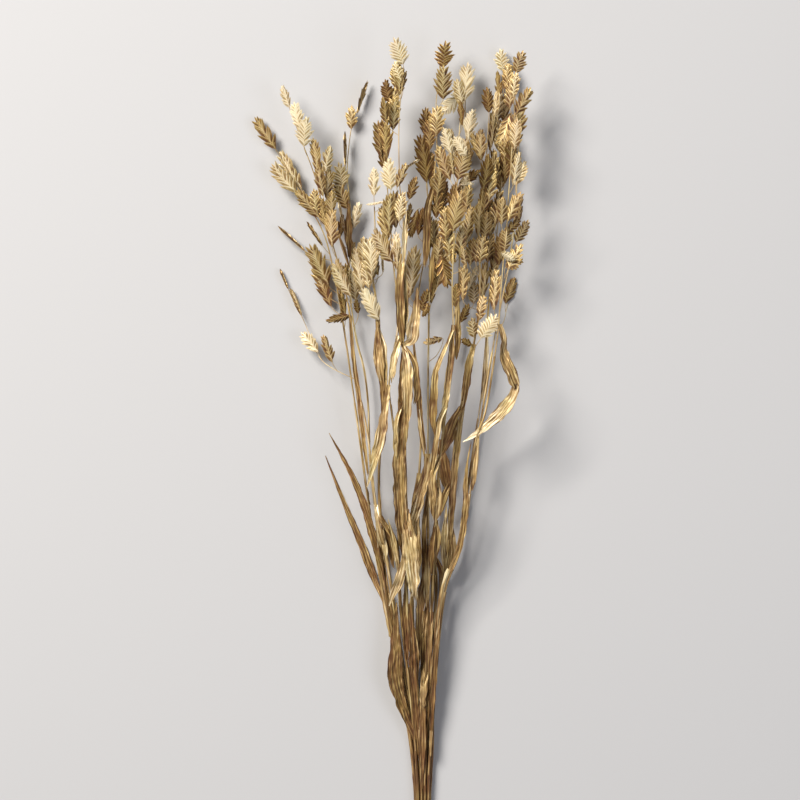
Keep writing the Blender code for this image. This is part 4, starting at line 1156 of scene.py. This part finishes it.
# The paint. Colours are sRGB hex values, and sizes on the plant are in millimetres.
PATCH = 18.18              # patches of thin spray
PATCH_LEVEL = 0.46         # noise that neither thins the spray nor thickens it
PATCH_DEPTH = 1.3
STREAK_WIDTH = 1.333       # coarser than the real fibres, 0.6 wide, which are too fine to show from here
STREAK_LENGTH = 35.7
STREAK_THINNING = 1.6      # how much a streak changes the coat's thickness and its colour
STREAK_SHADING = 1.5
BAND = 0.314               # what one of Blender's bands measures at scale 1
RELIEF = 0.25              # height of the ribs and fibres
RELIEF_STRENGTH = 0.7
THIN_SHINE = 1.15          # share of the metallic value that a thin coat has, and that the thickest one lacks
CHALKINESS = 0.75
STRAW_ROUGHER = 0.25       # how much rougher bare straw is than the paint
WEATHERED = (11.11, 71.43, 20.0)   # stretches that turned one way: across, along and in height
HUE_REACH = 0.009          # of the whole circle of hues, either way
BARE_STRAW = ((0.3, "#402510"), (0.7, "#875929"))
GOLD_PAINT = ((0.0, "#7C5A2B"), (0.35, "#B6965C"), (0.72, "#DFC68F"), (1.0, "#FBEDCB"))

# Sockets of a Mix node that is set to colours, which share their names with its other ones.
MIX_FIRST = 6
MIX_SECOND = 7
MIX_RESULT = 2


def linear(code):
    """An sRGB hex colour as the linear values that Blender's shaders take."""
    channels = [int(code[index:index + 2], 16) / 255.0 for index in (1, 3, 5)]
    curve = [value / 12.92 if value <= 0.04045 else ((value + 0.055) / 1.055) ** 2.4 for value in channels]
    return (*curve, 1.0)


def add_node(tree, kind, inputs=None, stops=(), **settings):
    """Add a shader node with its settings, its values and links, and its ramp's stops if it has one."""
    made = tree.nodes.new("ShaderNode" + kind)
    for name, value in settings.items():
        setattr(made, name, value)
    for socket, value in (inputs or {}).items():
        if isinstance(value, bpy.types.NodeSocket):
            tree.links.new(value, made.inputs[socket])
        else:
            made.inputs[socket].default_value = value
    for index, (position, colour) in enumerate(stops):
        elements = made.color_ramp.elements   # a new ramp has two
        stop = elements[index] if index < 2 else elements.new(position)
        stop.position = position
        stop.color = linear(colour)
    return made


def gold_sprayed(name, vein_pitch, vein_depth, streakiness, roughness, metallic):
    """Bronze-and-aluminium flake lacquer sprayed thinly over dry straw.

    It gives the eye a satin gold with soft, wide highlights: pale where the tone is high, which is a painted
    highlight, and brown where painted shade lowers the cover in folds and hollows and the straw colour shows.
    Fine fibres run along it.
    """
    material = bpy.data.materials.new(name)
    material.use_nodes = True
    tree = material.node_tree
    shader = tree.nodes["Principled BSDF"]
    grain = add_node(tree, "UVMap", uv_map="grain").outputs["UV"]
    place = add_node(tree, "TexCoord").outputs["Object"]
    cover = add_node(tree, "Attribute", attribute_name="cover").outputs["Fac"]
    tone = add_node(tree, "Attribute", attribute_name="tone").outputs["Fac"]

    # Patches of thin spray, streaks along the fibres, and ribs.
    patches = add_node(tree, "TexNoise", {"Vector": place, "Scale": 1.0 / (PATCH * MM), "Detail": 3.0})
    stretch = (1.0 / STREAK_WIDTH, 1.0 / STREAK_LENGTH, 1.0)
    stretched = add_node(tree, "Mapping", {"Vector": grain, "Scale": stretch}).outputs["Vector"]
    streaks = add_node(tree, "TexNoise", {"Vector": stretched, "Scale": 1.0, "Detail": 2.0, "Roughness": 0.6})
    veins = add_node(tree, "TexWave", {"Vector": grain, "Scale": BAND / vein_pitch, "Distortion": 0.6,
                                       "Detail": 1.0}, wave_type="BANDS", bands_direction="X")

    # How much of the straw the coat hides, and which gold it has.
    patchy = add_node(tree, "Math", {0: patches.outputs["Fac"], 1: PATCH_LEVEL}, operation="SUBTRACT")
    coat = add_node(tree, "Math", {0: patchy.outputs[0], 1: PATCH_DEPTH, 2: cover}, operation="MULTIPLY_ADD")
    streaky = add_node(tree, "Math", {0: streaks.outputs["Fac"], 1: 0.5}, operation="SUBTRACT").outputs[0]
    coat = add_node(tree, "Math", {0: streaky, 1: STREAK_THINNING * streakiness, 2: coat.outputs[0]},
                    operation="MULTIPLY_ADD", use_clamp=True).outputs[0]
    shade = add_node(tree, "Math", {0: streaky, 1: STREAK_SHADING * streakiness, 2: tone},
                     operation="MULTIPLY_ADD", use_clamp=True).outputs[0]
    gold = add_node(tree, "ValToRGB", {"Fac": shade}, GOLD_PAINT).outputs["Color"]
    straw = add_node(tree, "ValToRGB", {"Fac": streaks.outputs["Fac"]}, BARE_STRAW).outputs["Color"]
    colour = add_node(tree, "Mix", {"Factor": coat, MIX_FIRST: straw, MIX_SECOND: gold}, data_type="RGBA")

    # Weather has turned some stretches olive and some reddish, from one culm and blade to the next.
    drawn_out = tuple(1.0 / (size * MM) for size in WEATHERED)
    weather = add_node(tree, "Mapping", {"Vector": place, "Scale": drawn_out}).outputs["Vector"]
    weather = add_node(tree, "TexNoise", {"Vector": weather, "Scale": 1.0, "Detail": 1.0}).outputs["Fac"]
    hue = add_node(tree, "MapRange", {"Value": weather, "From Min": 0.3, "From Max": 0.7,
                                      "To Min": 0.5 - HUE_REACH, "To Max": 0.5 + HUE_REACH})
    aged = add_node(tree, "HueSaturation", {"Hue": hue.outputs["Result"],
                                            "Color": colour.outputs[MIX_RESULT]})
    tree.links.new(aged.outputs["Color"], shader.inputs["Base Color"])

    # The thickest coat is chalky: less of it shines like metal. Bare straw is dull.
    metal = add_node(tree, "Math", {0: tone, 1: -CHALKINESS * metallic, 2: THIN_SHINE * metallic},
                     operation="MULTIPLY_ADD").outputs[0]
    metal = add_node(tree, "Math", {0: coat, 1: metal}, operation="MULTIPLY", use_clamp=True).outputs[0]
    tree.links.new(metal, shader.inputs["Metallic"])
    matt = add_node(tree, "MapRange", {"Value": coat, "To Min": roughness + STRAW_ROUGHER,
                                       "To Max": roughness})
    tree.links.new(matt.outputs["Result"], shader.inputs["Roughness"])

    height = add_node(tree, "Math", {0: veins.outputs["Fac"], 1: vein_depth, 2: streaks.outputs["Fac"]},
                      operation="MULTIPLY_ADD").outputs[0]
    bump = add_node(tree, "Bump", {"Height": height, "Strength": RELIEF_STRENGTH, "Distance": RELIEF * MM})
    tree.links.new(bump.outputs["Normal"], shader.inputs["Normal"])
    return material


def make_materials():
    return {
        # Culms and pedicels: smooth and round, with a narrow light streak down each.
        "straw": gold_sprayed("gold_sprayed_straw", vein_pitch=0.7, vein_depth=0.4, streakiness=1.3,
                              roughness=0.42, metallic=0.4),
        # Dead leaf: the dullest and most streaked, ribbed along its length.
        "blade": gold_sprayed("gold_sprayed_dry_blade", vein_pitch=1.3, vein_depth=0.9, streakiness=1.7,
                              roughness=0.45, metallic=0.35),
        # Chaff of the spikelets, at which the spray was aimed: the fullest coat, which shines most.
        "chaff": gold_sprayed("gold_sprayed_chaff", vein_pitch=0.9, vein_depth=0.5, streakiness=0.6,
                              roughness=0.38, metallic=0.7),
    }


# The studio: a pale floor, a strong soft light beyond the seed heads on the left, and a camera overhead.
VIEW_WIDTH = 0.8           # metres that the picture spans, on the plane at VIEW_HEIGHT
VIEW_CENTRE = (-15.0, 425.0)   # in the tables' millimetres, as is the height
VIEW_HEIGHT = 40.0
LENS = 400.0
SENSOR = 36.0
FLOOR_REACH = 4.0          # metres either way
FLOOR_DROP = 0.2           # keeps the floor clear of what lies on it, in millimetres


def make_camera():
    camera = bpy.data.objects.new("overhead_camera", bpy.data.cameras.new("overhead_camera"))
    camera.data.lens = LENS
    camera.data.sensor_width = SENSOR
    distance = VIEW_WIDTH * LENS / SENSOR
    across, along = VIEW_CENTRE
    camera.location = (Vector((across, along, VIEW_HEIGHT)) - Vector(ZERO)) * MM + Vector((0, 0, distance))
    camera.data.clip_end = 4.0 * distance
    bpy.context.scene.collection.objects.link(camera)
    bpy.context.scene.camera = camera


def add_softbox(name, place, target, size, watts, colour):
    light = bpy.data.lights.new(name, "AREA")
    light.shape = "RECTANGLE"
    light.size, light.size_y = size
    light.energy = watts
    light.color = linear(colour)[:3]
    lamp = bpy.data.objects.new(name, light)
    lamp.location = place
    lamp.rotation_euler = (Vector(target) - Vector(place)).to_track_quat("-Z", "Y").to_euler()
    bpy.context.scene.collection.objects.link(lamp)


def make_floor():
    """Seamless paper: matt and pale, with no grain that shows from here."""
    mesh = bpy.data.meshes.new("studio_floor")
    corners = [(across * FLOOR_REACH, along * FLOOR_REACH, 0.0)
               for across, along in ((-1, -1), (1, -1), (1, 1), (-1, 1))]
    mesh.from_pydata(corners, [], [(0, 1, 2, 3)])
    floor = bpy.data.objects.new("studio_floor", mesh)
    floor.location.z = -FLOOR_DROP * MM
    bpy.context.scene.collection.objects.link(floor)
    paper = bpy.data.materials.new("seamless_paper")
    paper.use_nodes = True
    shader = paper.node_tree.nodes["Principled BSDF"]
    shader.inputs["Base Color"].default_value = linear("#C6C6C8")
    shader.inputs["Roughness"].default_value = 0.9
    mesh.materials.append(paper)


def make_studio():
    make_floor()
    world = bpy.data.worlds.new("studio")
    world.use_nodes = True
    world.node_tree.nodes["Background"].inputs["Color"].default_value = linear("#E6E8EC")
    world.node_tree.nodes["Background"].inputs["Strength"].default_value = 0.22
    bpy.context.scene.world = world
    add_softbox("key", (-2.3, 2.3, 3.2), (0.0, 0.1, 0.0), (1.9, 1.9), 303.0, "#FFFAF2")
    add_softbox("fill", (2.6, -0.8, 3.2), (0.0, 0.0, 0.0), (2.2, 2.2), 34.0, "#F2F5FF")


materials = make_materials()
for name, stem in STEMS.items():
    make_stem(name, stem, materials)
make_studio()
make_camera()
bpy.context.scene.view_settings.view_transform = "Standard"
